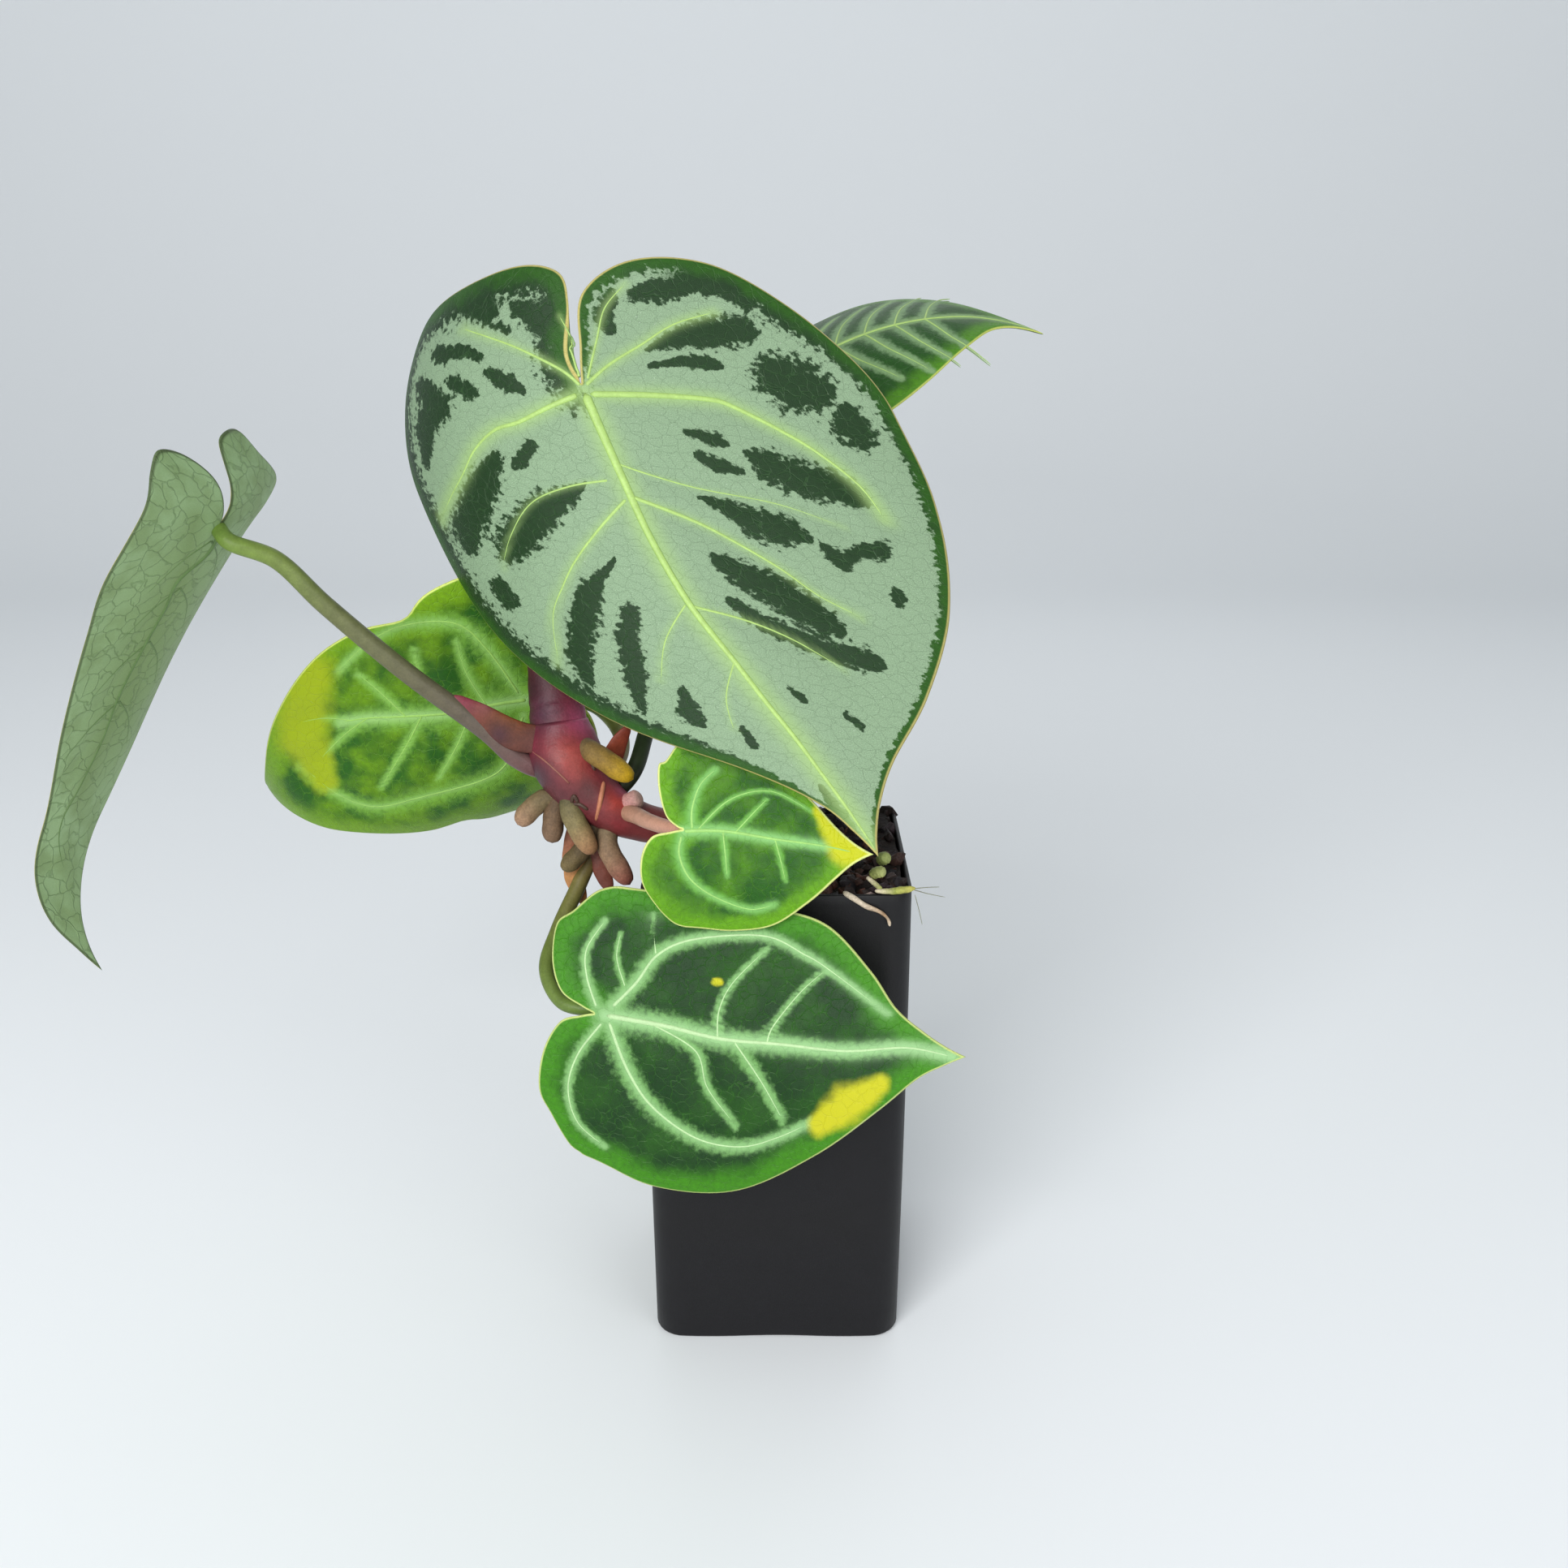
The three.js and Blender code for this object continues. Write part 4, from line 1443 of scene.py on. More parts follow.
# The large silver leaf, traced on the photo
FRONT_LOOK = LeafLook(
    veins=(
        Vein(((720, 483), (745, 540), (772, 600), (800, 660), (850, 745), (905, 815), (960, 885), (1010, 950),
              (1050, 1005), (1080, 1050)), ridge=(1.25, 0.3)),
        Vein(((722, 475), (750, 450), (790, 425), (830, 400), (880, 385)), ridge=(0.55, 0.15)),
        Vein(((724, 468), (735, 420), (745, 380), (770, 350)), ridge=(0.4, 0.12)),
        Vein(((725, 486), (800, 487), (870, 492), (900, 500), (960, 530), (1010, 560), (1060, 600),
              (1090, 640)), ridge=(0.9, 0.2)),
        Vein(((762, 572), (800, 585), (860, 602), (960, 622), (1040, 650)), ridge=(0.3, 0.1)),
        Vein(((778, 612), (850, 640), (900, 665), (960, 700), (1010, 735), (1060, 760)), ridge=(0.55, 0.12)),
        Vein(((852, 747), (920, 765), (980, 790), (1040, 825)), ridge=(0.4, 0.1)),
        Vein(((715, 475), (690, 455), (640, 430), (600, 415), (570, 405)), ridge=(0.5, 0.15)),
        Vein(((714, 465), (706, 420), (690, 390)), ridge=(0.35, 0.12)),
        Vein(((712, 487), (680, 500), (640, 520), (610, 530), (585, 555), (568, 590), (545, 640)),
             ridge=(0.85, 0.15)),
        Vein(((750, 592), (700, 600), (655, 620), (630, 660), (620, 700)), ridge=(0.35, 0.1)),
        Vein(((772, 615), (740, 650), (710, 690), (695, 720), (682, 760), (690, 820)), ridge=(0.5, 0.12)),
        Vein(((845, 745), (820, 790), (815, 840)), ridge=(0.35, 0.1)),
        Vein(((905, 815), (895, 860), (905, 900)), ridge=(0.3, 0.1)),
    ),
    islands=tuple(Patch(line) for line in (
        ((574, 366, 17), (600, 386, 17)),
        ((614, 402, 6), (626, 408, 5)),
        ((640, 382, 11), (662, 392, 20), (684, 409, 11)),
        ((546, 438, 12), (572, 433, 8), (592, 440, 7)),
        ((562, 472, 10), (582, 484, 10)),
        ((606, 461, 8), (627, 472, 12), (646, 482, 5)),
        ((526, 477, 12), (540, 502, 20), (527, 526, 14), (529, 575, 4)),
        ((655, 550, 9), (641, 569, 10)),
        ((612, 564, 9), (596, 598, 24), (580, 644, 24), (584, 676, 9)),
        ((722, 595, 3), (700, 612, 14), (672, 628, 24), (638, 664, 27), (628, 684, 12)),
        ((759, 688, 3), (740, 712, 8), (727, 732, 18), (721, 764, 20), (716, 806, 17), (730, 842, 5)),
        ((778, 755, 12), (774, 785, 15), (785, 832, 14), (792, 874, 7)),
        ((842, 850, 6), (850, 875, 14), (865, 890, 8)),
        ((914, 898, 4), (930, 918, 6)),
        ((614, 718, 9), (632, 742, 11)),
        ((751, 368, 11), (742, 392, 12), (751, 404, 9)),
        ((782, 362, 10), (813, 358, 17), (850, 350, 14), (885, 354, 12), (920, 376, 8)),
        ((797, 431, 3), (830, 418, 12), (870, 411, 20), (910, 408, 20), (927, 414, 8)),
        ((800, 452, 4), (836, 446, 6), (866, 447, 10), (884, 452, 6)),
        ((952, 462, 26), (982, 476, 34), (1006, 484, 24)),
        ((1043, 503, 8), (1045, 525, 22), (1064, 541, 17)),
        ((845, 533, 5), (880, 542, 10), (894, 548, 5)),
        ((858, 561, 5), (885, 574, 10), (910, 582, 5)),
        ((924, 560, 8), (948, 576, 20), (990, 591, 21), (1030, 602, 20), (1062, 616, 12)),
        ((862, 613, 3), (900, 628, 11), (930, 645, 18), (962, 655, 20), (997, 664, 6)),
        ((1012, 675, 6), (1040, 694, 12), (1056, 680, 9), (1086, 680, 13)),
        ((880, 688, 8), (920, 712, 18), (970, 737, 22), (1012, 766, 18), (1038, 780, 8)),
        ((898, 740, 6), (940, 768, 9), (990, 790, 12), (1030, 805, 11), (1060, 813, 16), (1084, 822, 8)),
        ((1104, 733, 9), (1108, 742, 9)),
        ((972, 850, 4), (992, 863, 5)),
        ((1040, 880, 4), (1062, 897, 5)),
        ((1012, 970, 4), (1030, 995, 7), (1050, 1020, 6)),
    )),
    silver_edge=(
        (0, 1.0, 1.0), (0.14, 1.4, 1.2), (0.2, 1.6, 3.0), (0.29, 1.8, 7.5), (0.36, 2.4, 8.5),
        (0.43, 3.2, 9.0), (0.5, 4.0, 9.0), (0.57, 5.0, 8.5), (0.643, 8.0, 8.0), (0.714, 4.5, 8.0),
        (0.786, 3.5, 7.0), (0.857, 2.2, 4.0), (0.93, 0.8, 0.8), (1, 0.5, 0.5),
    ),
)

# The leaf that stands behind on the right, seen along its upper face
BACK_RIGHT_LOOK = LeafLook(
    veins=tuple(
        [Vein(((0, 0), (0, 0.5), (0, 0.98)), ridge=(0.8, 0.2), band=(3.0, 1.4), space=Space.FLAT)]
        + [
            Vein(((0, y), (s * 0.35, y + 0.07), (s * 0.7, y + 0.2)), (0.4, 0.1), (2.6, 1.2), Space.FLAT)
            for s in (-1, 1) for y in (0.02, 0.15, 0.28, 0.41, 0.54)
        ]
        + [
            Vein(((0, 0), (s * 0.3, -0.3), (s * 0.7, -0.4)), (0.4, 0.1), (2.6, 1.2), Space.FLAT)
            for s in (-1, 1)
        ]
    ),
    warm=(Patch(((0, 0.985, 1.2), (0, 1.0, 1.2)), space=Space.FLAT),),
)

# The leaf at the left, whose underside faces the camera
LEFT_LOOK = LeafLook(
    veins=tuple(
        [Vein(((268, 655), (253, 681), (217, 714), (201, 748), (167, 810), (143, 858), (124, 910), (96, 968),
               (72, 1016), (80, 1080)), ridge=(0.9, 0.2))]
        + [
            Vein(((0, y), (s * 0.22, y + 0.05), (s * 0.42, y + 0.13)), ridge=(0.4, 0.1), space=Space.FLAT)
            for s in (-1, 1) for y in (0.03, 0.15, 0.28, 0.42)
        ]
    ),
    shade=(
        Patch(((240, 640, 10), (225, 700, 22), (185, 780, 30), (150, 860, 26), (112, 940, 14),
               (90, 1000, 4))),
    ),
    silver_edge=((0, 0.6, 0.6), (0.5, 4, 4), (1, 0.5, 0.5)),
    vein_colour=(150, 176, 120), under_vein_colour=(96, 124, 72),
)

# The yellow-green leaf behind the crown
BACK_LEFT_LOOK = LeafLook(
    veins=(
        Vein(((649, 862), (600, 870), (555, 879), (500, 883), (453, 885), (420, 890)), (0.7, 0.2), (20, 7)),
        Vein(((640, 856), (600, 800), (560, 768), (494, 771), (450, 795), (417, 827)), (0.4, 0.12), (12, 6)),
        Vein(((645, 880), (626, 938), (593, 962), (520, 982), (464, 994), (417, 979), (370, 944)),
             (0.4, 0.12), (12, 6)),
        Vein(((555, 879), (520, 840), (510, 800)), (0.3, 0.1), (9, 5)),
        Vein(((600, 870), (575, 830), (562, 790)), (0.3, 0.1), (9, 5)),
        Vein(((500, 883), (465, 850), (440, 830)), (0.3, 0.1), (8, 4)),
        Vein(((453, 885), (425, 905), (395, 935)), (0.3, 0.1), (8, 4)),
        Vein(((520, 882), (500, 920), (470, 970)), (0.3, 0.1), (8, 4)),
        Vein(((580, 875), (565, 915), (540, 960)), (0.3, 0.1), (8, 4)),
        Vein(((435, 888), (400, 885), (370, 890)), (0.25, 0.1), (6, 3)),
    ),
    warm=(Patch(((380, 830, 30), (372, 900, 30), (400, 960, 16))),),
    vein_colour=(136, 178, 84), quilt=0.9,
)

# The small leaf in front of the crown
CENTRE_LOOK = LeafLook(
    veins=(
        Vein(((843, 1024), (891, 1024), (955, 1034), (1019, 1043), (1051, 1050)), (0.6, 0.15), (11, 3)),
        Vein(((853, 1021), (853, 996), (863, 967), (882, 948)), (0.4, 0.12), (12, 4)),
        Vein(((860, 1022), (900, 985), (950, 975), (1000, 1000)), (0.25, 0.1), (4, 2)),
        Vein(((840, 1030), (837, 1053), (850, 1082), (879, 1104), (923, 1120), (955, 1114)),
             (0.4, 0.12), (10, 4)),
        Vein(((891, 1025), (894, 1055), (896, 1079)), (0.3, 0.1), (7, 3)),
        Vein(((955, 1034), (962, 1060), (968, 1085)), (0.25, 0.1), (6, 3)),
        Vein(((905, 1027), (930, 1000), (945, 985)), (0.25, 0.1), (5, 3)),
    ),
    warm=(Patch(((1010, 1000, 8), (1045, 1045, 22), (1062, 1055, 16))),),
    vein_colour=(140, 186, 100),
)

# The dark leaf in front of the pot
LOW_LOOK = LeafLook(
    veins=(
        Vein(((746, 1251), (819, 1264), (888, 1280), (964, 1287), (1041, 1295), (1117, 1291), (1175, 1302)),
             (0.8, 0.2), (15, 6)),
        Vein(((754, 1241), (784, 1211), (811, 1176), (857, 1157), (941, 1153), (991, 1176), (1022, 1195),
              (1094, 1249)), (0.5, 0.12), (11, 4)),
        Vein(((735, 1240), (723, 1203), (723, 1169), (746, 1134)), (0.35, 0.12), (8, 4)),
        Vein(((808, 1175), (806, 1150), (807, 1126)), (0.25, 0.1), (5, 3)),
        Vein(((884, 1278), (886, 1245), (903, 1211), (945, 1169)), (0.3, 0.1), (7, 4)),
        Vein(((945, 1285), (953, 1264), (987, 1222), (1018, 1195)), (0.3, 0.1), (6, 4)),
        Vein(((750, 1258), (773, 1318), (804, 1364), (857, 1402), (911, 1413), (957, 1402), (999, 1383)),
             (0.5, 0.12), (12, 6)),
        Vein(((742, 1260), (712, 1299), (700, 1341), (712, 1383), (746, 1413)), (0.35, 0.12), (8, 4)),
        Vein(((804, 1262), (857, 1295), (872, 1341), (907, 1387)), (0.3, 0.1), (9, 5)),
        Vein(((905, 1284), (938, 1333), (964, 1379)), (0.3, 0.1), (10, 6)),
        Vein(((770, 1215), (760, 1180), (765, 1150)), (0.2, 0.1), (5, 3)),
    ),
    warm=(
        Patch(((1010, 1385, 14), (1045, 1360, 24), (1085, 1335, 12))),
        Patch(((882, 1209, 5), (886, 1210, 5))),
    ),
    vein_colour=(168, 198, 146), quilt=0.8,
)


@dataclass(frozen=True)
class Petiole:
    """The stalk from the crown to a blade."""

    name: str
    route: tuple[Point, ...]
    shape: LeafShape
    radius: tuple[float, float]
    colours: tuple[Colour, ...]
    approach: float = 5.0

    def build(self) -> bpy.types.Object:
        """Builds the stalk, meeting its blade square to the lower face.

        Returns:
            The stalk.
        """
        end = np.array(self.shape.base)
        before = end - self.shape.axes()[2] * self.approach
        points = [*self.route, tuple(before), tuple(end)]
        radii = np.linspace(self.radius[0], self.radius[1], len(points))
        path = tuple((*p, r) for p, r in zip(points, radii))
        bm = bmesh.new()
        facing = (0.37, -0.9, 0.23)
        Strand(path, self.colours, facing, sides=24, rings=120, end_cap=0.01).add(bm)
        return place_piece(f"stalk_{self.name}", bm, [STALK], [f"petiole_{self.name}"])


@dataclass(frozen=True)
class Crown:
    """The thick red crown and creeping stem, with its stubby aerial roots and the sheaths left round it."""

    stem: Strand = Strand(
        path=(
            (-4, 3, 112, 4.2), (-10, 2, 126, 4.8), (-20, 0, 138.5, 5.2), (-30, -3, 146.4, 5.2),
            (-38.5, -5, 149.6, 5.5), (-46, -6, 153.5, 6.6), (-54, -4, 160, 8.8), (-59, -2, 167.5, 10.3),
            (-60.5, 0, 173.5, 9.4), (-61.2, 1, 178.5, 8),
        ),
        colours=((92, 66, 52), (102, 64, 56), (112, 50, 50), (104, 42, 46), (100, 36, 46), (100, 34, 52)),
        sides=64, rings=150, lumps=0.025,
    )

    def build(self) -> list[bpy.types.Object]:
        """Builds the stem, its roots and its sheaths.

        Returns:
            The pieces.
        """
        return [self.build_stem(), self.build_roots(), *self.build_sheaths()]

    def build_stem(self) -> bpy.types.Object:
        """Builds the stem, tinted in purple-brown, dusty red and magenta with a small painted highlight, and
        with the lips of its scars.

        Returns:
            The stem.
        """
        bm = bmesh.new()
        self.stem.add(bm)
        tint_spots(bm, STEM_SPOTS)
        tree = BVHTree.FromBMesh(bm)
        for line, radius, colour in STEM_LINES:
            path = tuple((*on_surface(tree, pixel), radius) for pixel in line)
            Strand(path, (colour,), sides=8, rings=24, start_cap=0.2, end_cap=0.2).add(bm)
        return place_piece("crown", bm, [STEM], ["stem"])

    def build_roots(self) -> bpy.types.Object:
        """Builds the stubby aerial roots.

        Returns:
            The roots as one piece.
        """
        bm = bmesh.new()
        for root, middle, tip, radius, colours in AERIAL_ROOTS:
            path = ((*root, radius * 0.8), (*middle, radius), (*tip, radius))
            facing = (1, 0.3, 0.4)
            Strand(path, colours, facing, sides=24, rings=32, end_cap=0.22, lumps=0.03).add(bm)
        return place_piece("aerial_roots", bm, [AERIAL_ROOT])

    def build_sheaths(self) -> list[bpy.types.Object]:
        """Builds the upright sheath, the wing at its left and the old scale leaves.

        Returns:
            One piece for each.
        """
        pieces = []
        for name, slot, strand in SHEATHS:
            bm = bmesh.new()
            strand.add(bm)
            tint_spots(bm, SHEATH_SPOTS.get(name, ()))
            pieces.append(place_piece(f"{name}_skin", bm, [SHEATH], [name]))
        return pieces


def on_surface(tree: BVHTree, pixel: Point) -> tuple[float, float, float]:
    """The place on a mesh that is seen at a pixel.

    Args:
        tree: the mesh's faces, in metres.
        pixel: column and row.

    Returns:
        x, y, z in millimetres, on the mesh or where the line of sight passes nearest to it.
    """
    eye, direction = PHOTO.ray(pixel)
    hit = tree.ray_cast(Vector(eye) * MM, Vector(direction))[0]
    if hit is None:
        near = 0.4
        hit = tree.find_nearest((Vector(eye) + Vector(direction) * near / MM) * MM)[0]
    return tuple(hit / MM)


MAROON, PURPLE, MAGENTA = (50, 18, 24), (66, 32, 46), (156, 70, 104)
DUSTY_RED, BROWN, SLATE, BARK = (146, 62, 54), (78, 52, 42), (56, 38, 48), (70, 50, 40)

STEM_SPOTS = (
    Spot((690, 905), 60, (98, 34, 46), 0.8),
    Spot((655, 850), 24, MAROON),
    Spot((668, 880), 24, PURPLE),
    Spot((724, 888), 20, MAGENTA, 0.9),
    Spot((700, 932), 26, DUSTY_RED, 0.85),
    Spot((712, 950), 20, DUSTY_RED, 0.6),
    Spot((662, 958), 24, SLATE, 0.9),
    Spot((690, 985), 26, (84, 42, 46), 0.85),
    Spot((725, 975), 18, (70, 34, 34), 0.8),
    Spot((760, 988), 16, (150, 56, 48), 0.9),
    # painted highlight: a small pink-magenta spot on the lower red segment
    Spot((768, 972), 9, MAGENTA, 0.6),
    Spot((760, 1018), 12, (128, 40, 46), 0.6),
    Spot((745, 1036), 14, BROWN, 0.85),
)
WING_SPOTS = (
    Spot((630, 880), 22, (104, 56, 22), 0.9),
    Spot((598, 868), 10, (112, 62, 62), 0.8),
    Spot((572, 864), 12, (110, 38, 54), 0.8),
    Spot((615, 905), 16, (58, 30, 38), 0.9),
)
SHEATH_SPOTS = {"sheath_upright": STEM_SPOTS, "sheath_wing": WING_SPOTS}
STEM_LINES = (
    (((655, 925), (672, 938), (692, 956), (702, 966)), 0.25, (132, 84, 70)),
    (((744, 962), (740, 985), (734, 1012)), 0.7, (168, 108, 80)),
    (((724, 918), (727, 934), (733, 950)), 0.6, BARK),
    (((724, 918), (734, 919), (744, 925)), 0.6, BARK),
    (((696, 1016), (698, 1000), (704, 991)), 0.6, BARK),
    (((704, 991), (714, 991), (725, 998)), 0.6, BARK),
)
AERIAL_ROOTS = (
    ((-55, -3, 172), (-50, -9.5, 171), (-39.2, -13, 164.6), 3.1,
     ((84, 66, 44), (98, 80, 52), (122, 96, 40), (178, 142, 8))),
    ((-57.5, -4, 162), (-57, -10.5, 154.5), (-50.8, -14, 143), 3.1,
     ((58, 54, 38), (78, 74, 50), (118, 106, 70), (150, 108, 76))),
    ((-58, -4, 159), (-66.5, -6, 155.8), (-72.8, -7.6, 149.6), 3.0,
     ((66, 54, 38), (102, 88, 60), (146, 114, 90))),
    ((-59, -3, 161), (-62.3, -7, 152.8), (-63, -9, 144.6), 3.0,
     ((72, 58, 42), (92, 72, 52), (110, 86, 66))),
    ((-49, -5, 154), (-54, -9, 143.6), (-60.3, -10, 136.8), 2.7,
     ((62, 48, 34), (78, 64, 42), (104, 90, 56))),
    ((-46, -5, 153), (-47.4, -10, 144.5), (-41, -14, 134), 3.0,
     ((84, 70, 52), (112, 96, 72), (132, 104, 80), (138, 76, 66))),
    ((-45, -5, 154), (-41, -8.5, 156.5), (-37.5, -9, 158.4), 2.7,
     ((140, 94, 84), (176, 124, 120), (172, 138, 128))),
)
SHEATHS = (
    ("sheath_upright", "sheath_red", Strand(
        path=((-60.6, 0.4, 171, 8.6, 8.2), (-61.4, 1.4, 179.5, 7.8, 7.2), (-62, 2.4, 184, 7.4, 6.4),
              (-63.2, 3.2, 191, 6.4, 5), (-64.6, 3.4, 199, 4.6, 3.8)),
        colours=((102, 36, 50), (94, 32, 48), (70, 26, 34), (54, 20, 26)), facing=(0.1, -1, 0), sides=48,
        rings=60, start_cap=0.02, end_cap=0.05, lumps=0.02)),
    ("sheath_wing", "sheath_red", Strand(
        path=((-60, -4, 173, 3.4, 1), (-72, -7.3, 175.6, 4.2, 0.8), (-81, -9, 182.6, 2.6, 0.7),
              (-88, -9.6, 187.4, 0.9, 0.5)),
        colours=((70, 34, 38), (92, 50, 30), (112, 44, 54)), facing=(0.15, -1, 0.3), sides=24, rings=60,
        end_cap=0.1)),
    ("cataphyll_low", "cataphyll_brown", Strand(
        path=((-54, -4, 155, 3, 1.2), (-57.2, -5, 142, 3.4, 0.9), (-57.6, -5.4, 133, 3, 0.8),
              (-55.4, -5.8, 124.6, 1.2, 0.5)),
        colours=((92, 50, 40), (134, 82, 56), (166, 118, 70), (142, 84, 50)), facing=(0.1, -1, 0.1), sides=24,
        rings=60, end_cap=0.1, lumps=0.05)),
    ("cataphyll_side", "cataphyll_brown", Strand(
        path=((-48, -3, 152, 3, 1.2), (-49.4, -4, 142, 3.4, 0.9), (-49.6, -5, 135, 2.8, 0.8),
              (-47.6, -6, 128.6, 1.2, 0.5)),
        colours=((88, 44, 36), (116, 62, 50), (92, 46, 36)), facing=(0.1, -1, 0.1), sides=24, rings=60,
        end_cap=0.1, lumps=0.05)),
    ("cataphyll_rear", "cataphyll_brown", Strand(
        path=((-49, -1, 161, 2.8, 1.2), (-46.4, -2.6, 167, 3.2, 0.9), (-43.6, -3, 173, 2.4, 0.8),
              (-41, -3, 177, 1, 0.5)),
        colours=((84, 30, 26), (132, 60, 40), (116, 44, 28)), facing=(0.4, -1, 0), sides=24, rings=60,
        end_cap=0.1)),
)


@dataclass(frozen=True)
class Pot:
    """The tall square nursery pot of black plastic."""

    height: float = 140.0
    top_width: float = 73.0
    base_width: float = 71.2
    corner_radius: float = 8.0
    wall: float = 1.2
    base: float = 1.6
    hole_radius: float = 4.0
    hole_offset: float = 24.0
    hole_sides: int = 24
    around: int = 160
    underside: float = 0.35
    underside_inset: float = 0.9

    def ring(self, shares: np.ndarray, z: np.ndarray, inset: np.ndarray) -> np.ndarray:
        """Points of the rounded square at given heights.

        Args:
            shares: places round it from 0 to 1.
            z: heights.
            inset: distances in from the outer face.

        Returns:
            Rows of x, y.
        """
        flare = (self.top_width - self.base_width) * np.clip(z / self.height, 0, 1)
        half = (self.base_width + flare) / 2 - inset
        radius = np.maximum(self.corner_radius - inset, 0.5)
        straight = half - radius
        corner = np.minimum((shares * 4).astype(int), 3)
        within = shares * 4 - corner
        line = 2 * straight / (2 * straight + radius * math.pi / 2)
        arc = np.clip((within - line / 2) / (1 - line), 0, 1) * math.pi / 2
        before = np.clip(within, 0, line / 2) / (line / 2) * straight
        after = np.clip((within - 1 + line / 2) / (line / 2), 0, 1) * straight
        x = straight + radius * np.cos(arc) - after
        y = before + radius * np.sin(arc)
        turn = corner * math.pi / 2
        cos, sin = np.cos(turn), np.sin(turn)
        return np.stack([x * cos - y * sin, x * sin + y * cos], axis=1)

    def build(self) -> bpy.types.Object:
        """Builds the pot's wall with its rounded rim, and its floor with four drain holes.

        Returns:
            The pot.
        """
        bm = bmesh.new()
        self.add_wall(bm)
        self.add_floor(bm)
        bmesh.ops.remove_doubles(bm, verts=bm.verts, dist=1e-5)
        layer = bm.verts.layers.float_color.new("tint")
        for vertex in bm.verts:
            low = 1 - min(vertex.co.z / (self.height * MM), 1)
            vertex[layer] = linear((int(7 + 3 * low), int(6 + 3 * low), int(9 + 4 * low)))
        return place_piece("pot_shell", bm, [POT_BLACK], ["pot"])

    def add_wall(self, bm: bmesh.types.BMesh) -> None:
        """Adds the wall, from the foot up the outside, over the rim and down the inside.

        Args:
            bm: the mesh to add to, in metres.
        """
        lip = self.wall / 2
        profile = np.array(
            [(0.8, 0.0), (0.25, 0.25), (0.0, 0.9)]
            + [(0.0, z) for z in np.linspace(8, self.height - 3, 20)]
            + [(0.0, self.height - 0.6), (lip * 0.3, self.height - 0.15), (lip, self.height),
               (lip * 1.7, self.height - 0.15), (self.wall, self.height - 0.6)]
            + [(self.wall, z) for z in (self.height - 4, self.height / 2, self.base)]
        )
        bmesh.ops.create_grid(bm, x_segments=self.around, y_segments=len(profile) - 1, size=1.0)
        sheet = np.array([v.co for v in bm.verts], float)
        shares = (sheet[:, 0] + 1) / 2 % 1.0
        place = (sheet[:, 1] + 1) / 2 * (len(profile) - 1)
        inset = np.interp(place, range(len(profile)), profile[:, 0])
        z = np.interp(place, range(len(profile)), profile[:, 1])
        flat = self.ring(shares, z, inset)
        turn = shares * 2 * math.pi
        sag = 0.35 * np.sin(3 * turn + 1) * np.sin(z / self.height * math.pi)
        foot = np.exp(-z / 3) * 0.25 * (1 + np.sin(7 * turn))
        flat = flat * (1 - (sag / 40))[:, None]
        for vertex, (x, y), height in zip(bm.verts, flat, z + foot):
            vertex.co = Vector((x, y, height)) * MM

    def add_floor(self, bm: bmesh.types.BMesh) -> None:
        """Adds the floor as two skins joined round the drain holes.

        Args:
            bm: the mesh to add to, in metres.
        """
        offsets = [(x, y) for x in (-1, 1) for y in (-1, 1)]
        insets = {self.underside: self.underside_inset, self.base: self.wall}
        holes = {level: [] for level in insets}
        every = np.ones(self.around)
        for level, inset in insets.items():
            outer = self.ring(np.arange(self.around) / self.around, every * level, every * inset)
            loop = bmesh.ops.create_circle(bm, cap_ends=False, radius=1.0, segments=self.around)["verts"]
            for vertex, (x, y) in zip(loop, outer):
                vertex.co = Vector((x, y, level)) * MM
            edges = list({e for v in loop for e in v.link_edges})
            for x, y in offsets:
                shift = Matrix.Translation(Vector((x * self.hole_offset, y * self.hole_offset, level)) * MM)
                made = bmesh.ops.create_circle(
                    bm,
                    cap_ends=False,
                    radius=self.hole_radius * MM,
                    segments=self.hole_sides,
                    matrix=shift,
                )["verts"]
                ring = list({e for v in made for e in v.link_edges})
                holes[level].append(ring)
                edges += ring
            bmesh.ops.triangle_fill(bm, edges=edges, use_beauty=True)
        for under, over in zip(*holes.values()):
            bmesh.ops.bridge_loops(bm, edges=under + over)


# The bark's colours and how often each is drawn; the palest, (120, 104, 100), is painted glints on the bark
BARK_ODDS = {
    (34, 22, 20): 0.27,
    (52, 32, 26): 0.22,
    (70, 42, 34): 0.14,
    (26, 20, 24): 0.18,
    (88, 60, 50): 0.08,
    # painted glints: the palest pieces stand for glints of light on the bark
    (120, 104, 100): 0.03,
    (44, 30, 34): 0.08,
}


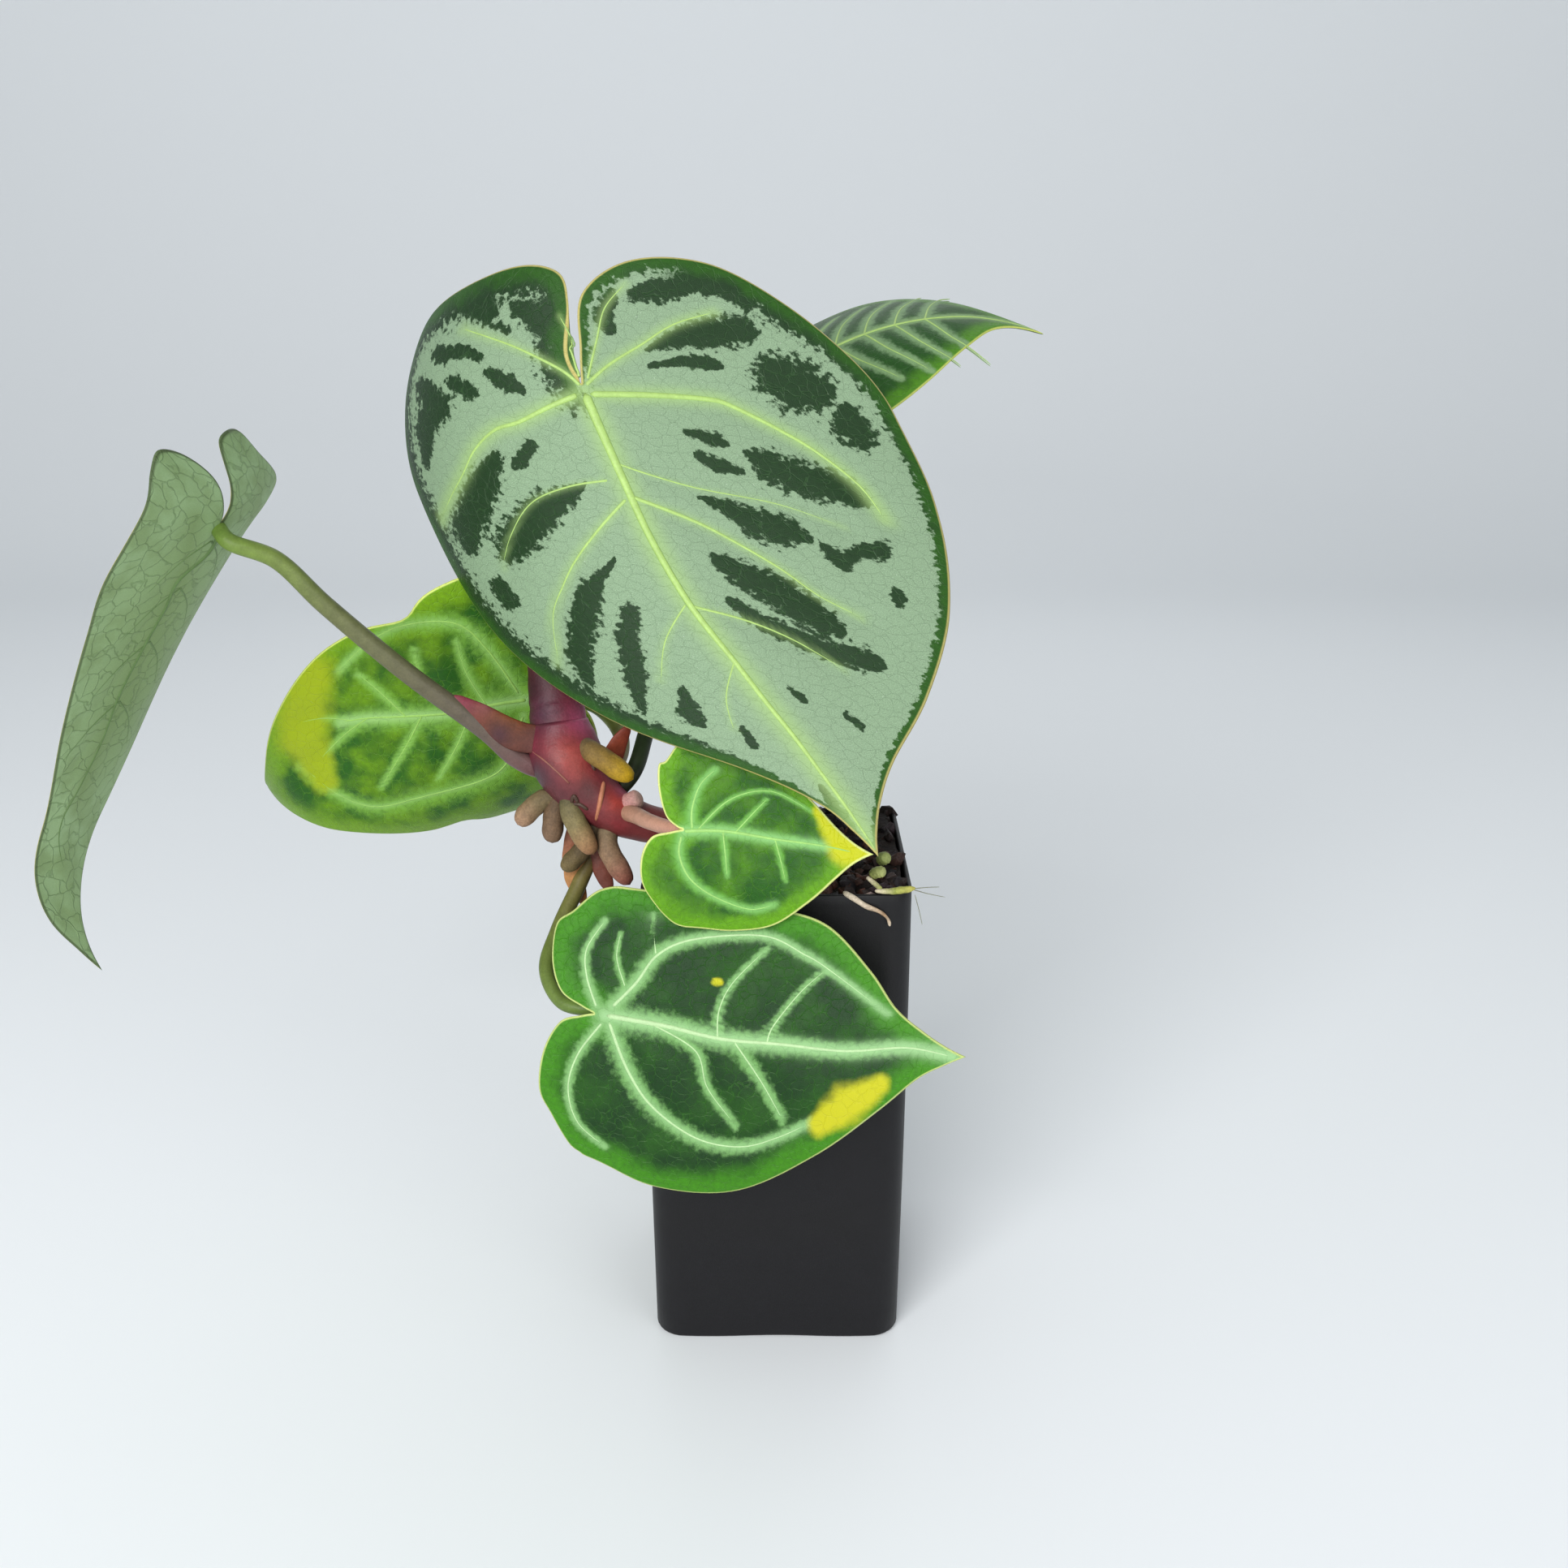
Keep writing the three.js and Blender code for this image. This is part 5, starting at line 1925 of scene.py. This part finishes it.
@dataclass(frozen=True)
class Soil:
    """The dark bark mix, its loose pieces, and the roots that show on it."""

    level: float = 138.2
    lump: float = 1.4
    half_width: float = 34.8
    chips: int = 520
    seed: int = 7

    def height(self, x: np.ndarray, y: np.ndarray) -> np.ndarray:
        """Height of the bed.

        Args:
            x: places across.
            y: places back.

        Returns:
            Heights in millimetres.
        """
        wave = np.sin(x * 0.31 + 1.3) * np.cos(y * 0.27 - 0.6) + 0.6 * np.sin(x * 0.13 - y * 0.43)
        return self.level + self.lump * wave

    def build(self) -> list[bpy.types.Object]:
        """Builds the bed, the bark pieces and the surface roots.

        Returns:
            The pieces.
        """
        return [self.build_bed(), self.build_chips(), self.build_surface_roots()]

    def build_bed(self) -> bpy.types.Object:
        """Builds the bed, a thin lumpy slab at the top of the pot.

        Returns:
            The bed.
        """
        bm = bmesh.new()
        steps, rough, rounding = 70, 0.35, 0.045
        bmesh.ops.create_grid(bm, x_segments=steps, y_segments=steps, size=1.0)
        bmesh.ops.extrude_edge_only(bm, edges=[e for e in bm.edges if e.is_boundary])
        generator = np.random.default_rng(self.seed)
        layer = bm.verts.layers.float_color.new("tint")
        for vertex in bm.verts:
            x, y = vertex.co.x, vertex.co.y
            squeeze = 1 - rounding * (x * x * y * y)
            px, py = x * self.half_width * squeeze, y * self.half_width * squeeze
            z = float(self.height(np.array(px), np.array(py))) + generator.normal(0, rough)
            vertex.co = Vector((px, py, z)) * MM
            vertex[layer] = linear((30, 22, 20))
        bmesh.ops.contextual_create(bm, geom=[e for e in bm.edges if e.is_boundary])
        return place_piece("soil_bed", bm, [BARK_BED], ["soil"])

    def build_chips(self) -> bpy.types.Object:
        """Builds the loose bark pieces, grit and painted glints on top, each a small uneven lump.

        Returns:
            The pieces as one object.
        """
        bm = bmesh.new()
        layer = bm.verts.layers.float_color.new("tint")
        generator = np.random.default_rng(self.seed)
        shades = tuple(BARK_ODDS)
        odds = tuple(BARK_ODDS.values())
        for _ in range(self.chips):
            x, y = generator.uniform(-self.half_width, self.half_width, 2)
            size = generator.uniform(0.9, 2.6)
            shape = Vector((size * generator.uniform(1, 1.9), size, size * generator.uniform(0.5, 0.9))) * MM
            z = float(self.height(np.array(x), np.array(y))) + generator.uniform(-0.3, 1.4)
            turn = Euler(generator.uniform(0, math.tau, 3)).to_matrix().to_4x4()
            place = Matrix.Translation(Vector((x * 0.98, y * 0.98, z)) * MM)
            whole = place @ turn @ Matrix.Diagonal((*shape, 1))
            made = bmesh.ops.create_icosphere(bm, subdivisions=1, radius=1.0, matrix=whole)["verts"]
            shade = linear(shades[generator.choice(len(shades), p=odds)])
            for vertex in made:
                vertex.co += Vector(generator.normal(0, 0.18 * size, 3)) * MM
                vertex[layer] = shade
        return place_piece("bark_pieces", bm, [BARK_CHIPS], smooth=False)

    def build_surface_roots(self) -> bpy.types.Object:
        """Builds the pale root over the front rim, the yellow-green one with its hairs, and the green nubs.

        Returns:
            The roots as one piece.
        """
        bm = bmesh.new()
        for path, colours in SURFACE_ROOTS:
            Strand(path, colours, sides=10, rings=36, start_cap=0.1, end_cap=0.15, lumps=0.08).add(bm)
        return place_piece("surface_roots", bm, [SURFACE_ROOT])


ROOT_WHITE, ROOT_BUFF, ROOT_GREEN = (190, 176, 156), (140, 112, 84), (134, 140, 66)
HAIR = (110, 112, 90)
SURFACE_ROOTS = (
    (((17.7, -35.6, 140.6, 0.7), (20, -36.9, 139.6, 0.8), (23.5, -37.3, 137.4, 0.75),
      (27.7, -37.3, 135.4, 0.5), (29.6, -37.4, 133.6, 0.4), (30.2, -37.4, 131.4, 0.6)),
     (ROOT_WHITE, ROOT_WHITE, ROOT_BUFF, ROOT_WHITE)),
    (((24, -33.5, 144, 0.5), (26, -34.5, 142.6, 0.7), (28, -36, 141.2, 0.6)), (ROOT_WHITE, ROOT_GREEN)),
    (((26, -36, 141, 0.5), (29.7, -36.8, 141.2, 0.8), (33, -37, 141.6, 1.0), (36.8, -37, 142.2, 0.6)),
     (ROOT_WHITE, ROOT_GREEN, (170, 164, 80))),
    (((36, -37, 142, 0.12), (40, -37.5, 142.6, 0.1), (43, -38, 142.9, 0.08)), (HAIR,)),
    (((36, -37, 141.8, 0.12), (40, -37.5, 140.8, 0.1), (44.6, -38, 140, 0.08)), (HAIR,)),
    (((36.6, -37, 140.4, 0.1), (37.8, -37.6, 136, 0.09), (38.7, -38, 132.1, 0.08)), (HAIR,)),
    (((28.4, -26, 146, 1.6), (28.8, -28, 147.2, 1.8), (29.6, -30, 148, 1.4)),
     ((96, 104, 50), (130, 140, 80))),
    (((25.4, -32, 144, 1.4), (27.4, -33.5, 145.4, 1.6), (28.8, -34.4, 145.6, 1.2)),
     ((110, 116, 60), (150, 156, 96))),
)


@dataclass(frozen=True)
class Studio:
    """The pale curved backdrop and the soft light."""

    floor_colour: Colour = (240, 243, 245)
    floor_roughness: float = 0.8
    sky_colour: Colour = (232, 237, 241)
    sky_strength: float = 0.5
    aim: Point = (-0.04, 0.0, 0.17)
    floor_size: float = 3.0
    front_room: float = 1.6
    wall_start: float = 2.8
    bend_radius: float = 0.7

    def build(self) -> None:
        """Builds the floor, the world and the lights."""
        bm = bmesh.new()
        bmesh.ops.create_grid(bm, x_segments=1, y_segments=80, size=1.0)
        for vertex in bm.verts:
            run = (vertex.co.y + 1) * self.floor_size
            turn = min(max((run - self.wall_start) / self.bend_radius, 0.0), math.pi / 2)
            flat = min(run, self.wall_start) + self.bend_radius * math.sin(turn)
            rise = max(run - self.wall_start - self.bend_radius * math.pi / 2, 0.0)
            height = self.bend_radius * (1 - math.cos(turn)) + rise
            vertex.co = Vector((vertex.co.x * self.floor_size, flat - self.front_room, height))
        mesh = bpy.data.meshes.new("floor")
        bm.to_mesh(mesh)
        bm.free()
        material, _, surface = new_material("floor_pale")
        surface.inputs["Base Color"].default_value = linear(self.floor_colour)
        surface.inputs["Roughness"].default_value = self.floor_roughness
        mesh.materials.append(material)
        for polygon in mesh.polygons:
            polygon.use_smooth = True
        floor = bpy.data.objects.new("floor", mesh)
        bpy.context.scene.collection.objects.link(floor)
        self.add_world()
        bpy.context.scene.view_settings.view_transform = "Standard"
        self.add_light("key", (-0.55, -1.35, 0.8), 1.0, 26.0)
        self.add_light("fill", (0.9, -1.1, 0.4), 1.0, 7.0)
        self.add_light("back", (0.1, 0.9, 0.9), 1.0, 1.5)

    def add_world(self) -> None:
        """Lights the scene evenly with a pale sky."""
        world = bpy.data.worlds.new("studio")
        world.use_nodes = True
        background = world.node_tree.nodes["Background"]
        background.inputs["Color"].default_value = linear(self.sky_colour)
        background.inputs["Strength"].default_value = self.sky_strength
        bpy.context.scene.world = world

    def add_light(self, name: str, place: Point, size: float, power: float) -> None:
        """Adds a square soft light aimed at the plant.

        Args:
            name: the light's name.
            place: where it stands, in metres.
            size: its side, in metres.
            power: its power in watts.
        """
        data = bpy.data.lights.new(name, "AREA")
        data.size = size
        data.energy = power
        light = bpy.data.objects.new(name, data)
        light.location = place
        aim = Vector(self.aim) - Vector(place)
        light.rotation_euler = aim.to_track_quat("-Z", "Y").to_euler()
        bpy.context.scene.collection.objects.link(light)


LEAVES = (
    Leaf("front", FRONT_SHAPE, FRONT_LOOK, SILVER, UNDER_SILVER, "leaf_silver", around=340, rings=60),
    Leaf("back_right", BACK_RIGHT_SHAPE, BACK_RIGHT_LOOK, STRIPED, UNDER_SILVER, "leaf_silver"),
    Leaf("left", LEFT_SHAPE, LEFT_LOOK, SILVER, UNDER_SILVER, "leaf_underside"),
    Leaf("back_left", BACK_LEFT_SHAPE, BACK_LEFT_LOOK, YOUNG, UNDER_YOUNG, "leaf_young"),
    Leaf("centre", CENTRE_SHAPE, CENTRE_LOOK, SMALL_YOUNG, UNDER_YOUNG, "leaf_young", around=240, rings=36),
    Leaf("low", LOW_SHAPE, LOW_LOOK, DARK, UNDER_YOUNG, "leaf_dark"),
)
PETIOLES = (
    Petiole("front", ((-64.5, 3.4, 199.4), (-66.5, 1, 212), (-67, 0, 224), (-65.5, 0.5, 240), (-58, -1, 256)),
            FRONT_SHAPE, (2.9, 2.2), ((96, 60, 50), (96, 110, 50), (110, 136, 60))),
    Petiole("back_right", ((-47, -3, 156), (-40.7, 1, 162.5), (-37.7, 8, 171), (-31, 24, 198), (-15, 46, 232),
                           (3, 62, 256)),
            BACK_RIGHT_SHAPE, (2.5, 1.9), ((40, 44, 30), (36, 50, 26), (60, 84, 40), (90, 120, 50))),
    Petiole("left", ((-57, 0, 165), (-66, -3, 165), (-72.2, -5.4, 168.6), (-79.8, -7, 176.6),
                     (-99.5, -12, 194.6), (-118.3, -16, 213.6), (-129, -19, 226)),
            LEFT_SHAPE, (3.2, 2.1), ((110, 60, 66), (96, 66, 66), (84, 74, 64), (92, 96, 60), (104, 124, 56),
                                     (110, 140, 60))),
    Petiole("back_left", ((-52, 2, 162), (-46.5, 14, 162), (-47, 26, 167), (-55, 34, 173), (-66, 33, 176)),
            BACK_LEFT_SHAPE, (2.5, 1.9), ((110, 60, 50), (110, 130, 50), (130, 160, 60))),
    Petiole("centre", ((-45, -5, 153), (-39.7, -12.5, 154.4), (-34, -22, 155.4), (-27.5, -31, 156.8)),
            CENTRE_SHAPE, (2.6, 1.5), ((150, 110, 84), (176, 136, 116), (190, 140, 120), (170, 150, 90))),
    Petiole("low", ((-50, -2, 151), (-51.5, -1, 143), (-56, -6, 132), (-61.5, -16, 121), (-63.5, -26, 113.5),
                    (-58, -34, 107.5)),
            LOW_SHAPE, (2.4, 1.9), ((120, 80, 60), (96, 110, 50), (90, 120, 50))),
)


def main() -> None:
    """Builds the plant, its pot and the studio."""
    logging.basicConfig(level=logging.INFO, format="%(message)s")
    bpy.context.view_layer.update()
    for leaf in LEAVES:
        for piece in leaf.build():
            log.info("%s: %d faces", piece.name, len(piece.data.polygons))
    for petiole in PETIOLES:
        log.info("%s built", petiole.build().name)
    for piece in (*Crown().build(), *Soil().build()):
        log.info("%s: %d faces", piece.name, len(piece.data.polygons))
    log.info("%s built", Pot().build().name)
    Studio().build()
    PHOTO.build()


if __name__ == "__main__":
    main()
